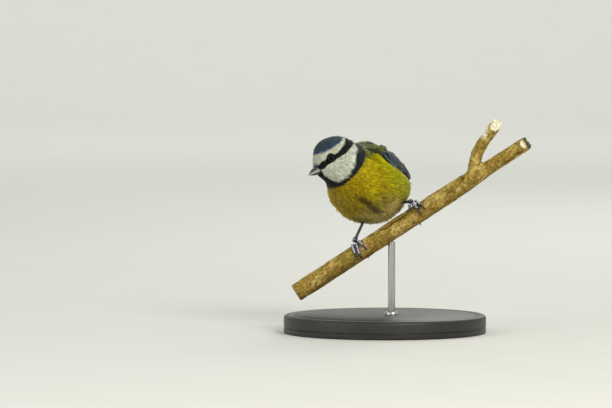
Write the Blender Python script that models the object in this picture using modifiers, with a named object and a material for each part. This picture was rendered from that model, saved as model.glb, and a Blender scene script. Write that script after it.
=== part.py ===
"""A life-size blue tit that grips a cut length of branch, on a plain display stand.

Lengths below are millimetres, and MM turns them into Blender's metres. +Z is up, the viewer of the
pose stands at -Y, and the origin is the centre of the stand's underside. Each part of the bird has
a frame of its own: X forward, Y to the bird's left and Z up.
"""

import math

import bmesh
import bpy
from mathutils import Matrix, Vector

MM = 0.001

# Gaps between neighbours
GAP = 0.3

# Stand
BASE_RADIUS = 45.0
BASE_HEIGHT = 8.0
BASE_EDGE = 1.2
ROD_RADIUS = 1.6
ROD_AT = (3.0, 0.0)

# Branch: a straight stick in the XZ plane that thins beyond its fork
BRANCH_SLOPE = math.radians(33.1)
BRANCH_MIDDLE = (12.4, 0.0, 51.4)
BRANCH_RADIUS = 4.15
BRANCH_END_RADIUS = 3.15
BRANCH_LOW_END = -62.0
BRANCH_THINS = (23.0, 41.0)
BRANCH_HIGH_END = 61.5

# Side shoot: height, x and y of its middle line, its radii, and the slanting cut across its end
SHOOT_LINE = ((66.0, 38.8, 0.0), (75.0, 39.8, -0.3), (80.5, 41.2, -0.7), (86.0, 44.3, -1.5), (97.0, 52.6, -3.6))
SHOOT_ROOT_RADIUS = 3.2
SHOOT_RADIUS = 2.6
SHOOT_CUT = (49.7, -2.7, 93.2)

# Trunk, with its feathers
TRUNK_CENTRE = (-7.8, 6.0, 67.3)
TRUNK_YAW = math.radians(13.0)
TRUNK_PITCH = math.radians(15.0)
TRUNK_ROLL = math.radians(27.0)

# Head, with its feathers
HEAD_CENTRE = (-22.7, -15.0, 78.6)
HEAD_YAW = math.radians(61.0)
HEAD_PITCH = math.radians(-15.5)
HEAD_ROLL = math.radians(5.5)

# Eyes, in the head's frame
EYE_CENTRE = (4.8, 6.6, 0.9)
EYE_RADIUS = 2.6

# Grid on which the coat's pieces are joined, and how far the join is softened
COAT_GRID = 2.6
COAT_SOFTENING = 3
COAT_SWELL = 0.3

# Folded wing and tail
WING_BEND_X = 17.0
WING_LENGTH = 65.0
WING_THICKNESS = 1.3
TAIL_ROOT_X = -27.0
TAIL_LENGTH = 49.0
TAIL_THICKNESS = 1.2
TAIL_DROOP = math.radians(-5.0)
TAIL_TURN = math.radians(5.0)

# Legs and feet
TARSUS_RADIUS = 0.62
TOE_RADIUS = 0.62
FOOT_KNOB_RADIUS = 1.15
CLAW_RADIUS = 0.42

COLOURS = {
    "blue_cap": "#3C5F96",
    "nape": "#2A3648",
    "olive_yellow": "#A99A12",
    "wing_blue": "#3F5A78",
    "tail_blue": "#44607E",
    "belly": "#B8A860",
    "slate": "#6E7686",
    "claw": "#2A2622",
    "bill": "#34343A",
    "eye": "#0B0806",
    "bark": "#A08446",
    "lacquer": "#2B2A28",
    "steel": "#A8A8A6",
}


def linear(hex_colour):
    """An sRGB hex colour as Blender's linear red, green, blue and alpha."""
    channels = [int(hex_colour[i : i + 2], 16) / 255 for i in (1, 3, 5)]
    return [c / 12.92 if c <= 0.04045 else ((c + 0.055) / 1.055) ** 2.4 for c in channels] + [1.0]


def material(name, roughness=0.7, metallic=0.0):
    made = bpy.data.materials.get(name)
    if made is None:
        made = bpy.data.materials.new(name)
        made.use_nodes = True
        shader = made.node_tree.nodes["Principled BSDF"]
        shader.inputs["Base Color"].default_value = linear(COLOURS[name])
        shader.inputs["Roughness"].default_value = roughness
        shader.inputs["Metallic"].default_value = metallic
    return made


def facing(centre, yaw, pitch, roll):
    """The frame of a part. Yaw turns its front from -Y towards -X, pitch lifts the front, and roll
    lifts the bird's left side."""
    forward = Vector((-math.sin(yaw) * math.cos(pitch), -math.cos(yaw) * math.cos(pitch), math.sin(pitch)))
    level = Vector((math.cos(yaw), -math.sin(yaw), 0.0))
    above = forward.cross(level)
    left = level * math.cos(roll) + above * math.sin(roll)
    up = above * math.cos(roll) - level * math.sin(roll)
    frame = Matrix((forward, left, up)).transposed().to_4x4()
    frame.translation = Vector(centre)
    return frame


def smooth_table(rows, at):
    """The columns of a table at a value of its first column, on a smooth curve through its rows."""
    rising = rows[0][0] < rows[-1][0]
    ordered = rows if rising else rows[::-1]
    at = min(max(at, ordered[0][0]), ordered[-1][0])
    k = max(i for i in range(len(ordered) - 1) if ordered[i][0] <= at)
    before, start, end, after = (ordered[min(max(i, 0), len(ordered) - 1)] for i in range(k - 1, k + 3))
    span = end[0] - start[0]
    t = (at - start[0]) / span
    values = []
    for a, b, c, d in zip(before[1:], start[1:], end[1:], after[1:]):
        slope_in = (c - a) / max(end[0] - before[0], 1e-9) * span
        slope_out = (d - b) / max(after[0] - start[0], 1e-9) * span
        values.append(
            (2 * t**3 - 3 * t**2 + 1) * b
            + (t**3 - 2 * t**2 + t) * slope_in
            + (3 * t**2 - 2 * t**3) * c
            + (t**3 - t**2) * slope_out
        )
    return values


def new_object(name, data, collection):
    obj = bpy.data.objects.new(name, data)
    collection.objects.link(obj)
    return obj


def from_bmesh(name, bm, collection):
    bmesh.ops.recalc_face_normals(bm, faces=bm.faces)
    mesh = bpy.data.meshes.new(name)
    bm.to_mesh(mesh)
    bm.free()
    return new_object(name, mesh, collection)


def loft(name, rings, collection):
    """A closed body through rings of points in millimetres, each end closed with a fan."""
    bm = bmesh.new()
    made = [[bm.verts.new(Vector(p) * MM) for p in ring] for ring in rings]
    count = len(made[0])
    for first, second in zip(made, made[1:]):
        for i in range(count):
            j = (i + 1) % count
            bm.faces.new((first[i], first[j], second[j], second[i]))
    for ring in (made[0], made[-1]):
        middle = bm.verts.new(sum((v.co for v in ring), Vector()) / count)
        for i in range(count):
            bm.faces.new((ring[i], ring[(i + 1) % count], middle))
    return from_bmesh(name, bm, collection)


def applied(obj):
    """The object's evaluated mesh in world space, in place of its modifiers or its curve."""
    bpy.context.view_layer.update()
    graph = bpy.context.evaluated_depsgraph_get()
    mesh = bpy.data.meshes.new_from_object(obj.evaluated_get(graph))
    mesh.transform(obj.matrix_world)
    name, collection = obj.name, obj.users_collection[0]
    materials = [slot.material for slot in obj.material_slots]
    bpy.data.objects.remove(obj)
    bm = bmesh.new()
    bm.from_mesh(mesh)
    bmesh.ops.remove_doubles(bm, verts=bm.verts, dist=1e-6)
    bm.to_mesh(mesh)
    bm.free()
    mesh.name = name
    made = new_object(name, mesh, collection)
    if not mesh.materials:
        for used in materials:
            mesh.materials.append(used)
    return made


def boolean(obj, cutter, operation="DIFFERENCE"):
    """Cuts with, keeps inside or joins another mesh, and gives the new object."""
    modifier = obj.modifiers.new("cut", "BOOLEAN")
    modifier.operation = operation
    modifier.object = cutter
    return applied(obj)


def copy_of(obj, name, collection):
    made = new_object(name, obj.data.copy(), collection)
    made.matrix_world = obj.matrix_world.copy()
    return made


def swollen(obj, by, collection):
    """A copy that is larger by this many millimetres all round."""
    made = copy_of(obj, obj.name + "_swollen", collection)
    modifier = made.modifiers.new("swell", "DISPLACE")
    modifier.strength = by * MM
    modifier.mid_level = 0.0
    return applied(made)


def tube(name, points, radii, collection, resolution=2):
    """A curve with a round section whose radius changes from point to point."""
    curve = bpy.data.curves.new(name, "CURVE")
    curve.dimensions = "3D"
    curve.bevel_depth = MM
    curve.bevel_resolution = resolution
    curve.use_fill_caps = True
    spline = curve.splines.new("POLY")
    spline.points.add(len(points) - 1)
    for point, place, radius in zip(spline.points, points, radii):
        point.co = (*(Vector(place) * MM), 1.0)
        point.radius = radius
    return new_object(name, curve, collection)


def finish(obj, slot, roughness=0.7, metallic=0.0, sharp=40.0):
    """Gives an object its material and smooth shading."""
    obj.data.materials.clear()
    obj.data.materials.append(material(slot, roughness, metallic))
    if obj.type == "MESH":
        obj.data.shade_smooth()
        obj.data.set_sharp_from_angle(angle=math.radians(sharp))


TRUNK = facing(TRUNK_CENTRE, TRUNK_YAW, TRUNK_PITCH, TRUNK_ROLL)
HEAD = facing(HEAD_CENTRE, HEAD_YAW, HEAD_PITCH, HEAD_ROLL)

# Trunk sections: x, height of the middle, half width, rise above it and depth below it
TRUNK_SECTIONS = (
    (21.0, 2.0, 7.2, 5.5, 7.0),
    (19.0, 1.8, 12.0, 9.0, 10.8),
    (15.0, 1.2, 16.2, 12.4, 14.0),
    (8.0, 0.6, 18.3, 15.4, 16.4),
    (0.0, 0.0, 18.9, 16.8, 17.5),
    (-8.0, 0.0, 18.4, 16.2, 17.6),
    (-16.0, 0.4, 16.2, 13.8, 16.2),
    (-23.0, 1.2, 12.6, 10.4, 12.8),
    (-29.0, 2.2, 8.8, 7.0, 8.8),
    (-35.0, 3.0, 6.0, 4.2, 5.4),
    (-40.0, 3.4, 4.2, 2.2, 2.8),
)

# Head sections: forward place, height of the middle, half width, rise above it and depth below it
HEAD_SECTIONS = (
    (-11.0, 0.7, 2.2, 2.0, 2.2),
    (-9.8, 0.6, 4.8, 4.8, 5.0),
    (-7.2, 0.3, 7.8, 7.5, 8.2),
    (-3.5, 0.0, 9.6, 9.2, 10.0),
    (0.5, 0.0, 9.9, 9.7, 10.2),
    (4.0, -0.2, 9.0, 9.3, 9.3),
    (7.0, -0.8, 7.2, 7.8, 7.4),
    (8.8, -1.7, 5.2, 5.6, 5.2),
    (9.9, -2.3, 3.4, 3.3, 3.2),
    (10.6, -2.6, 2.2, 2.0, 2.0),
)

# Neck: place in the trunk's frame and radius, and the last two in the head's frame
NECK_FROM_TRUNK = (((7.0, -1.5, 0.5), 13.5), ((14.0, -3.4, 0.8), 13.2))
NECK_FROM_HEAD = (((-2.0, 0.0, -5.0), 10.6), ((1.6, 0.0, -3.4), 9.0))

# Wing stations: share of the way from bend to tip, angle from the back of its upper and lower edge,
# the half width and the rise of the oval that it lies on, and the height of that oval's middle
WING_STATIONS = {
    "left": (
        (0.00, 77.0, 100.0, 13.4, 11.0, 1.3),
        (0.08, 76.0, 111.0, 15.4, 12.7, 0.6),
        (0.20, 66.0, 112.0, 16.4, 14.0, 0.2),
        (0.35, 50.0, 111.0, 16.7, 14.4, 0.0),
        (0.50, 33.0, 110.0, 16.3, 13.0, 0.2),
        (0.65, 22.0, 107.0, 14.7, 10.7, 1.2),
        (0.80, 20.0, 97.0, 10.6, 7.8, 3.2),
        (0.92, 30.0, 87.0, 7.8, 5.8, 4.8),
        (1.00, 44.0, 70.0, 6.0, 5.0, 5.6),
    ),
    "right": (
        (0.00, 58.0, 76.0, 13.2, 11.0, 1.3),
        (0.08, 56.0, 84.0, 15.2, 12.7, 0.8),
        (0.20, 50.0, 91.0, 16.2, 14.0, 0.1),
        (0.35, 41.0, 97.0, 16.6, 14.4, 0.0),
        (0.50, 30.0, 102.0, 16.3, 13.0, 0.2),
        (0.65, 21.0, 101.0, 14.7, 10.7, 1.2),
        (0.80, 20.0, 95.0, 10.6, 7.8, 3.2),
        (0.92, 30.0, 87.0, 7.8, 5.8, 4.8),
        (1.00, 44.0, 70.0, 6.0, 5.0, 5.6),
    ),
}

# Tail stations: share of the way to the tip, half width and rise of the arch
TAIL_STATIONS = (
    (0.0, 3.6, 0.9),
    (0.3, 4.9, 0.9),
    (0.7, 5.9, 0.8),
    (0.93, 6.5, 0.7),
    (1.0, 6.0, 0.6),
)


def oval(x, middle, half_width, rise, depth, count=28):
    """One section of a body: a ring that is taller or shorter below its middle than above it."""
    ring = []
    for i in range(count):
        angle = 2 * math.pi * i / count
        reach = rise if math.cos(angle) > 0 else depth
        ring.append((x, half_width * math.sin(angle), middle + reach * math.cos(angle)))
    return ring


def body_through(name, table, frame, collection, steps=26):
    """A closed body through a table of sections, placed in its frame."""
    first, last = table[0][0], table[-1][0]
    rings = []
    for i in range(steps + 1):
        x = first + (last - first) * i / steps
        ring = oval(x, *smooth_table(table, x))
        rings.append([frame @ Vector(p) for p in ring])
    return loft(name, rings, collection)


def neck_tube(collection):
    """The short neck, from the shoulders to the back of the skull."""
    stops = [(TRUNK @ Vector(p), r) for p, r in NECK_FROM_TRUNK]
    stops += [(HEAD @ Vector(p), r) for p, r in NECK_FROM_HEAD]
    rings = []
    for i, (place, radius) in enumerate(stops):
        along = stops[min(i + 1, len(stops) - 1)][0] - stops[max(i - 1, 0)][0]
        turn = along.to_track_quat("Z", "Y")
        ring = [Vector((math.cos(a), math.sin(a), 0)) * radius for a in angles(24)]
        rings.append([place + turn @ p for p in ring])
    return loft("neck_tube", rings, collection)


def angles(count):
    return [2 * math.pi * i / count for i in range(count)]


def on_branch(along, angle, radius):
    """A point around the branch: along it from its middle, turned from its top towards the viewer."""
    axis = Vector((math.cos(BRANCH_SLOPE), 0.0, math.sin(BRANCH_SLOPE)))
    top = Vector((-math.sin(BRANCH_SLOPE), 0.0, math.cos(BRANCH_SLOPE)))
    front = Vector((0.0, -1.0, 0.0))
    turn = math.radians(angle)
    return Vector(BRANCH_MIDDLE) + axis * along + (top * math.cos(turn) + front * math.sin(turn)) * radius


# Feet: where each foot stands along the branch, how far its knob is turned from the branch's top
# towards the viewer and lifted off the bark, and the ankle, inside the belly's feathers
FEET = {
    "right": {"along": -27.2, "turn": 10.0, "lift": 0.1, "ankle": (-6.9, 6.4, 54.6), "shows_from": 0.42},
    "left": {"along": 3.2, "turn": -6.0, "lift": 0.7, "ankle": (1.5, 11.5, 56.6), "shows_from": 0.40},
}

# Toes: number, shift along the branch at the start and at the end, the angles round the branch where
# the toe begins and ends, and the shift and the angle of the claw's tip
TOES = {
    "right": (
        (1, 0.1, 0.6, -16.0, -104.0, 0.9, -160.0),
        (2, 1.4, 1.9, 30.0, 70.0, 2.3, 97.0),
        (3, -0.2, -1.5, 36.0, 97.0, -1.5, 135.0),
        (4, -1.9, -3.1, 25.0, 84.0, -3.3, 112.0),
    ),
    "left": (
        (1, 0.0, -1.6, -32.0, -118.0, -2.5, -171.0),
        (2, -1.6, -2.2, 10.0, 38.0, -2.5, 62.0),
        (3, 0.1, 0.9, 20.0, 66.0, 0.6, 106.0),
        (4, 1.8, 2.8, 8.0, 56.0, 3.3, 84.0),
    ),
}


def knob_of(side):
    """The joint above the toes."""
    foot = FEET[side]
    return on_branch(foot["along"], foot["turn"], BRANCH_RADIUS + GAP + FOOT_KNOB_RADIUS + foot["lift"])


def toe_and_claw(side, toe, collection):
    number, start, end, begins, ends, claw_shift, claw_ends = toe
    along = FEET[side]["along"]
    reach = BRANCH_RADIUS + GAP + TOE_RADIUS
    steps = 7
    points, radii = [], []
    for i in range(steps + 1):
        t = i / steps
        lift = FEET[side]["lift"] * (1 - min(t * 2.2, 1)) ** 2 + 0.1
        points.append(on_branch(along + start + (end - start) * t, begins + (ends - begins) * t, reach + lift))
        radii.append(TOE_RADIUS * (1.0 - 0.16 * t) + 0.05 * math.cos(6 * math.pi * t))
    toe = tube(f"toe_{side}_{number}", points, radii, collection)
    finish(toe, "slate", 0.5)

    away = (GAP + 0.15) / reach * 57.3 * math.copysign(1, ends)
    steps = 5
    points, radii = [], []
    for i in range(steps + 1):
        t = i / steps
        arch = 0.55 * math.sin(math.pi * min(t * 1.1, 1)) + 0.25 * (1 - t)
        angle = ends + away + (claw_ends - ends - away) * t
        shift = end + (claw_shift - end) * t
        radii.append(CLAW_RADIUS * (1 - t) ** 0.7 + 0.10)
        points.append(on_branch(along + shift, angle, BRANCH_RADIUS + GAP + 0.05 + radii[-1] + arch))
    claw = tube(f"claw_{side}_{number}", points, radii, collection)
    finish(claw, "claw", 0.35)


def leg(side, extra, name, collection):
    """The bare leg, from where it leaves the belly's feathers to the knob above the toes."""
    foot = FEET[side]
    knob = knob_of(side)
    ankle = Vector(foot["ankle"])
    begins = ankle.lerp(knob, foot["shows_from"] - 0.08)
    direction = (knob - begins).normalized()
    begins = begins - direction * extra
    length = (knob - begins).length + extra
    steps = 8
    points, radii = [], []
    for i in range(steps + 1):
        t = i / steps
        points.append(begins + direction * length * t)
        widening = max(0.0, min(1.0, (t - 0.74) / 0.16))
        radii.append(TARSUS_RADIUS + (FOOT_KNOB_RADIUS - TARSUS_RADIUS) * widening + extra)
    return tube(name, points, radii, collection)


def thigh(side, collection):
    """The feathered thigh: a cone from inside the belly to where the bare leg shows."""
    foot = FEET[side]
    knob = knob_of(side)
    ankle = Vector(foot["ankle"])
    ends = ankle.lerp(knob, foot["shows_from"])
    inside = TRUNK @ Vector((-2.0, 8.0 if side == "left" else -8.0, -6.0))
    rings = []
    for share, radius in ((0.0, 7.5), (0.35, 6.6), (0.7, 4.2), (0.9, 2.4), (1.0, 1.5)):
        centre = inside.lerp(ends, share)
        turn = (ends - inside).to_track_quat("Z", "Y")
        rings.append([centre + turn @ (Vector((math.cos(a), math.sin(a), 0)) * radius) for a in angles(20)])
    return loft(f"thigh_{side}", rings, collection)


def wing_surface(side, inner, outer, spread, collection, name):
    """The folded wing: a thin shell on the side of the body, from the bend to the tip. Its faces lie
    this far inside and outside the surface through the stations."""
    sign = 1 if side == "left" else -1
    bm = bmesh.new()
    rows, across = 14, 6
    grid = []
    for i in range(rows + 1):
        a = i / rows
        upper, lower, half_width, rise, middle = smooth_table(WING_STATIONS[side], a)
        upper, lower = upper - spread, lower + spread
        x = WING_BEND_X - WING_LENGTH * a + (spread * 0.25 if a == 0 else 0) - (spread * 0.25 if a == 1 else 0)
        row = []
        for j in range(across + 1):
            angle = math.radians(upper + (lower - upper) * j / across)
            place = Vector((x, sign * half_width * math.sin(angle), middle + rise * math.cos(angle)))
            row.append(bm.verts.new((TRUNK @ place) * MM))
        grid.append(row)
    for first, second in zip(grid, grid[1:]):
        for j in range(across):
            bm.faces.new((first[j], first[j + 1], second[j + 1], second[j]))
    if side == "right":
        bmesh.ops.reverse_faces(bm, faces=bm.faces)
    mesh = bpy.data.meshes.new(name)
    bm.to_mesh(mesh)
    bm.free()
    return thickened(new_object(name, mesh, collection), inner, outer)


def thickened(surface, inner, outer):
    """A surface made solid, between this far behind its faces and this far in front of them."""
    shell = surface.modifiers.new("shell", "SOLIDIFY")
    shell.thickness = (inner + outer) * MM
    shell.offset = (outer - inner) / (outer + inner)
    return applied(surface)


def tail_surface(thickness, spread, collection, name):
    """The closed tail: a slightly arched blade of twelve feathers with a shallow notch."""
    hinge = Matrix.Translation((TAIL_ROOT_X, 0.0, 2.6))
    turn = Matrix.Rotation(TAIL_TURN, 4, "Z") @ Matrix.Rotation(-TAIL_DROOP, 4, "Y")
    frame = TRUNK @ hinge @ turn
    bm = bmesh.new()
    rows, across = 8, 4
    grid = []
    for i in range(rows + 1):
        a = i / rows
        half_width, rise = smooth_table(TAIL_STATIONS, a)
        row = []
        for j in range(across + 1):
            b = 2 * j / across - 1
            notch = 1.6 * (1 - abs(b)) * (a == 1)
            x = -(TAIL_LENGTH * a - notch) + (spread if a == 0 else 0)
            place = Vector((x, b * (half_width + spread), rise * (1 - b * b)))
            row.append(bm.verts.new((frame @ place) * MM))
        grid.append(row)
    for first, second in zip(grid, grid[1:]):
        for j in range(across):
            bm.faces.new((first[j], first[j + 1], second[j + 1], second[j]))
    mesh = bpy.data.meshes.new(name)
    bm.to_mesh(mesh)
    bm.free()
    return thickened(new_object(name, mesh, collection), thickness / 2, thickness / 2)


# Width of the line between the two halves of the closed bill
BILL_PARTING = 0.15

# Bill profile, in the head's frame: forward place, heights of the culmen, of the line where the two
# halves meet and of the lower edge, and the half width
BILL_STATIONS = (
    (8.4, -0.7, -3.00, -5.0, 2.05),
    (10.0, -1.0, -3.10, -4.9, 1.85),
    (11.3, -1.35, -3.20, -4.75, 1.5),
    (12.5, -1.9, -3.32, -4.5, 1.1),
    (13.5, -2.6, -3.45, -4.2, 0.72),
    (14.3, -3.25, -3.55, -3.95, 0.4),
    (14.7, -3.5, -3.62, -3.8, 0.2),
)


def bill_half(name, upper, collection):
    """One half of the closed bill, with a rounded back and a flat edge where the halves meet."""
    rings = []
    steps = 8
    first, last = BILL_STATIONS[0][0], BILL_STATIONS[-1][0]
    stop = last if upper else last - 0.5
    for i in range(steps + 1):
        x = first + (stop - first) * i / steps
        culmen, meets, below, half_width = smooth_table(BILL_STATIONS, x)
        edge = meets + BILL_PARTING / 2 if upper else meets - BILL_PARTING / 2
        reach = (culmen if upper else below) - edge
        ring = []
        for k in range(9):
            angle = math.pi * k / 8
            ring.append((x, half_width * math.cos(angle), edge + reach * math.sin(angle) ** 0.8))
        rings.append([HEAD @ Vector(p) for p in ring])
    return loft(name, rings, collection)


def eyeball(side, radius, collection, name):
    sign = 1 if side == "left" else -1
    forward, out, up = EYE_CENTRE
    centre = HEAD @ Vector((forward, sign * out, up))
    bm = bmesh.new()
    place = Matrix.Translation(centre * MM) @ HEAD.to_3x3().to_4x4()
    bmesh.ops.create_uvsphere(bm, u_segments=16, v_segments=10, radius=radius * MM, matrix=place)
    return from_bmesh(name, bm, collection)


def joined_coat(pieces, collection):
    """The whole feathered body as one smooth closed surface."""
    bm = bmesh.new()
    for piece in pieces:
        bm.from_mesh(piece.data)
        bpy.data.objects.remove(piece)
    body = from_bmesh("coat", bm, collection)
    remesh = body.modifiers.new("remesh", "REMESH")
    remesh.mode = "VOXEL"
    remesh.voxel_size = COAT_GRID * MM
    soften = body.modifiers.new("soften", "SMOOTH")
    soften.factor = 0.5
    soften.iterations = COAT_SOFTENING
    swell = body.modifiers.new("swell", "DISPLACE")
    swell.strength = COAT_SWELL * MM
    swell.mid_level = 0.0
    return applied(body)


# Where the neck begins and ends, as shares of the way from the trunk's centre to the head's
NECK_LOW = 0.50
NECK_HIGH = 0.72


def bird(parts, cutters):
    coat = joined_coat(
        [
            body_through("trunk_body", TRUNK_SECTIONS, TRUNK, cutters),
            body_through("head_body", HEAD_SECTIONS, HEAD, cutters),
            neck_tube(cutters),
            thigh("left", cutters),
            thigh("right", cutters),
        ],
        cutters,
    )

    for side in FEET:
        half = WING_THICKNESS / 2
        wing = wing_surface(side, half, half, 0.0, parts, f"wing_{side}")
        cut = wing_surface(side, half + GAP, half + 4.0, 2.0, cutters, f"wing_{side}_cut")
        coat = boolean(coat, cut)
        bpy.data.objects.remove(cut)
        finish(wing, "wing_blue")
    tail = tail_surface(TAIL_THICKNESS, 0.0, parts, "tail")
    cut = tail_surface(TAIL_THICKNESS + 2 * GAP, GAP, cutters, "tail_cut")
    coat = boolean(coat, cut)
    bpy.data.objects.remove(cut)
    finish(tail, "tail_blue")

    for upper, name in ((True, "bill_upper"), (False, "bill_lower")):
        half = bill_half(name, upper, parts)
        cut = swollen(half, GAP, cutters)
        coat = boolean(coat, cut)
        bpy.data.objects.remove(cut)
        finish(half, "bill", 0.35)
    for side in FEET:
        eye = eyeball(side, EYE_RADIUS, parts, f"eye_{side}")
        cut = eyeball(side, EYE_RADIUS + GAP, cutters, f"eye_{side}_cut")
        coat = boolean(coat, cut)
        bpy.data.objects.remove(cut)
        finish(eye, "eye", 0.08)

    for side in FEET:
        finish(leg(side, 0.0, f"leg_{side}", parts), "slate", 0.5)
        cut = applied(leg(side, GAP, f"leg_{side}_cut", cutters))
        coat = boolean(coat, cut)
        bpy.data.objects.remove(cut)

    low = TRUNK.translation.lerp(HEAD.translation, NECK_LOW)
    high = TRUNK.translation.lerp(HEAD.translation, NECK_HIGH)
    way = (HEAD.translation - TRUNK.translation).normalized()
    head = sliced(coat, high, -way, 0.5 * GAP, "head", parts)
    neck = sliced(sliced(coat, high, way, 0.5 * GAP, "neck_part", cutters), low, -way, 0.5 * GAP, "neck", parts)
    trunk = sliced(coat, low, way, 0.5 * GAP, "trunk", parts)
    bpy.data.objects.remove(coat)
    bpy.data.objects.remove(bpy.data.objects["neck_part"])
    finish(head, "blue_cap")
    finish(neck, "nape")
    finish(trunk, "olive_yellow")
    for side in FEET:
        for toe in TOES[side]:
            toe_and_claw(side, toe, parts)


def sliced(obj, place, away, gap, name, collection):
    """A copy cut off at a plane, without the side that the direction away points to."""
    bm = bmesh.new()
    bm.from_mesh(obj.data)
    away = away.normalized()
    origin = (place - away * gap) * MM
    geometry = bm.verts[:] + bm.edges[:] + bm.faces[:]
    found = bmesh.ops.bisect_plane(
        bm, geom=geometry, dist=1e-7, plane_co=origin, plane_no=away, clear_outer=True, clear_inner=False
    )
    rim = [e for e in found["geom_cut"] if isinstance(e, bmesh.types.BMEdge)]
    bmesh.ops.holes_fill(bm, edges=rim, sides=0)
    keep_largest(bm)
    return from_bmesh(name, bm, collection)


def islands(bm):
    """The separate bodies of a mesh, as lists of vertices."""
    left, found = set(bm.verts), []
    while left:
        stack = [left.pop()]
        body = []
        while stack:
            vert = stack.pop()
            body.append(vert)
            for edge in vert.link_edges:
                other = edge.other_vert(vert)
                if other in left:
                    left.remove(other)
                    stack.append(other)
        found.append(body)
    return found


def volume_near(body):
    """The size of the box round some vertices."""
    sides = [max(v.co[k] for v in body) - min(v.co[k] for v in body) for k in range(3)]
    return sides[0] * sides[1] * sides[2]


def keep_largest(bm):
    """Drops crumbs that a cut left."""
    bodies = sorted(islands(bm), key=volume_near)
    for body in bodies[:-1]:
        bmesh.ops.delete(bm, geom=body, context="VERTS")


def branch(parts, cutters):
    """The perch: a cut stick, and the sawn stub of a side shoot that grows from it."""
    points, radii = [], []
    steps = 18
    for i in range(steps + 1):
        along = BRANCH_LOW_END + (BRANCH_HIGH_END - BRANCH_LOW_END) * i / steps
        thins = min(max((along - BRANCH_THINS[0]) / (BRANCH_THINS[1] - BRANCH_THINS[0]), 0.0), 1.0)
        points.append(on_branch(along, 0.0, 0.0))
        radii.append(BRANCH_RADIUS + (BRANCH_END_RADIUS - BRANCH_RADIUS) * thins)
    stick = applied(tube("branch", points, radii, parts, resolution=4))

    points, radii = [], []
    steps = 9
    for i in range(steps + 1):
        t = i / steps
        height = SHOOT_LINE[0][0] + (SHOOT_LINE[-1][0] - SHOOT_LINE[0][0]) * t
        x, y = smooth_table(SHOOT_LINE, height)
        points.append((x, y, height))
        radii.append(SHOOT_RADIUS + (SHOOT_ROOT_RADIUS - SHOOT_RADIUS) * (1 - t) ** 3)
    shoot = applied(tube("shoot_whole", points, radii, cutters, resolution=4))
    cut = swollen(stick, GAP, cutters)
    shoot = boolean(shoot, cut)
    bpy.data.objects.remove(cut)
    grows = (Vector(points[-1]) - Vector(points[-2])).normalized()
    sliced(shoot, Vector(SHOOT_CUT), grows + Vector((0.0, -1.0, 0.0)), 0.0, "side_shoot", parts)
    bpy.data.objects.remove(shoot)
    finish(stick, "bark", 0.85)
    finish(parts.objects["side_shoot"], "bark", 0.85)


def stand(parts):
    """The display stand: a turned round base and one straight rod up to the branch."""
    profile = [(0.0, BASE_HEIGHT), (BASE_RADIUS - BASE_EDGE, BASE_HEIGHT)]
    corner = 3
    for i in range(corner + 1):
        angle = math.pi / 2 * (1 - i / corner)
        profile.append(
            (
                BASE_RADIUS - BASE_EDGE + BASE_EDGE * math.cos(angle),
                BASE_HEIGHT - BASE_EDGE + BASE_EDGE * math.sin(angle),
            )
        )
    profile += [(BASE_RADIUS, 0.6), (BASE_RADIUS - 0.6, 0.0), (0.0, 0.0)]
    bm = bmesh.new()
    verts = [bm.verts.new((x * MM, 0.0, z * MM)) for x, z in profile]
    for a, b in zip(verts, verts[1:]):
        bm.edges.new((a, b))
    mesh = bpy.data.meshes.new("stand_base")
    bm.to_mesh(mesh)
    bm.free()
    base = new_object("stand_base", mesh, parts)
    turn = base.modifiers.new("turn", "SCREW")
    turn.steps = turn.render_steps = 48
    turn.use_merge_vertices = True
    turn.merge_threshold = 0.00001
    finish(base, "lacquer", 0.35)

    x, y = ROD_AT
    slope = math.tan(BRANCH_SLOPE)
    underside = BRANCH_MIDDLE[2] + (x - BRANCH_MIDDLE[0]) * slope - BRANCH_RADIUS / math.cos(BRANCH_SLOPE)
    top = underside - GAP - ROD_RADIUS * slope
    bottom = BASE_HEIGHT + GAP
    bm = bmesh.new()
    place = Matrix.Translation(Vector((x, y, (top + bottom) / 2)) * MM)
    bmesh.ops.create_cone(
        bm,
        cap_ends=True,
        segments=24,
        radius1=ROD_RADIUS * MM,
        radius2=ROD_RADIUS * MM,
        depth=(top - bottom) * MM,
        matrix=place,
    )
    rod = from_bmesh("stand_rod", bm, parts)
    finish(rod, "steel", 0.3, 1.0)


def main():
    for obj in list(bpy.data.objects):
        bpy.data.objects.remove(obj)
    parts = bpy.data.collections.new("blue_tit")
    cutters = bpy.data.collections.new("cutters")
    for collection in (parts, cutters):
        bpy.context.scene.collection.children.link(collection)
    branch(parts, cutters)
    stand(parts)
    bird(parts, cutters)


main()
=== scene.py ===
"""The looks of a life-size blue tit that grips a cut length of branch on a plain display stand.

Lengths in the tables are millimetres; MM turns them into metres where a mesh is made. Each part of
the bird has a frame of its own: X forward, Y to the bird's left and Z up.
"""

import math
from functools import partial

import bmesh
import bpy
import numpy as np
from mathutils import Matrix, Vector
from mathutils.bvhtree import BVHTree

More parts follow.
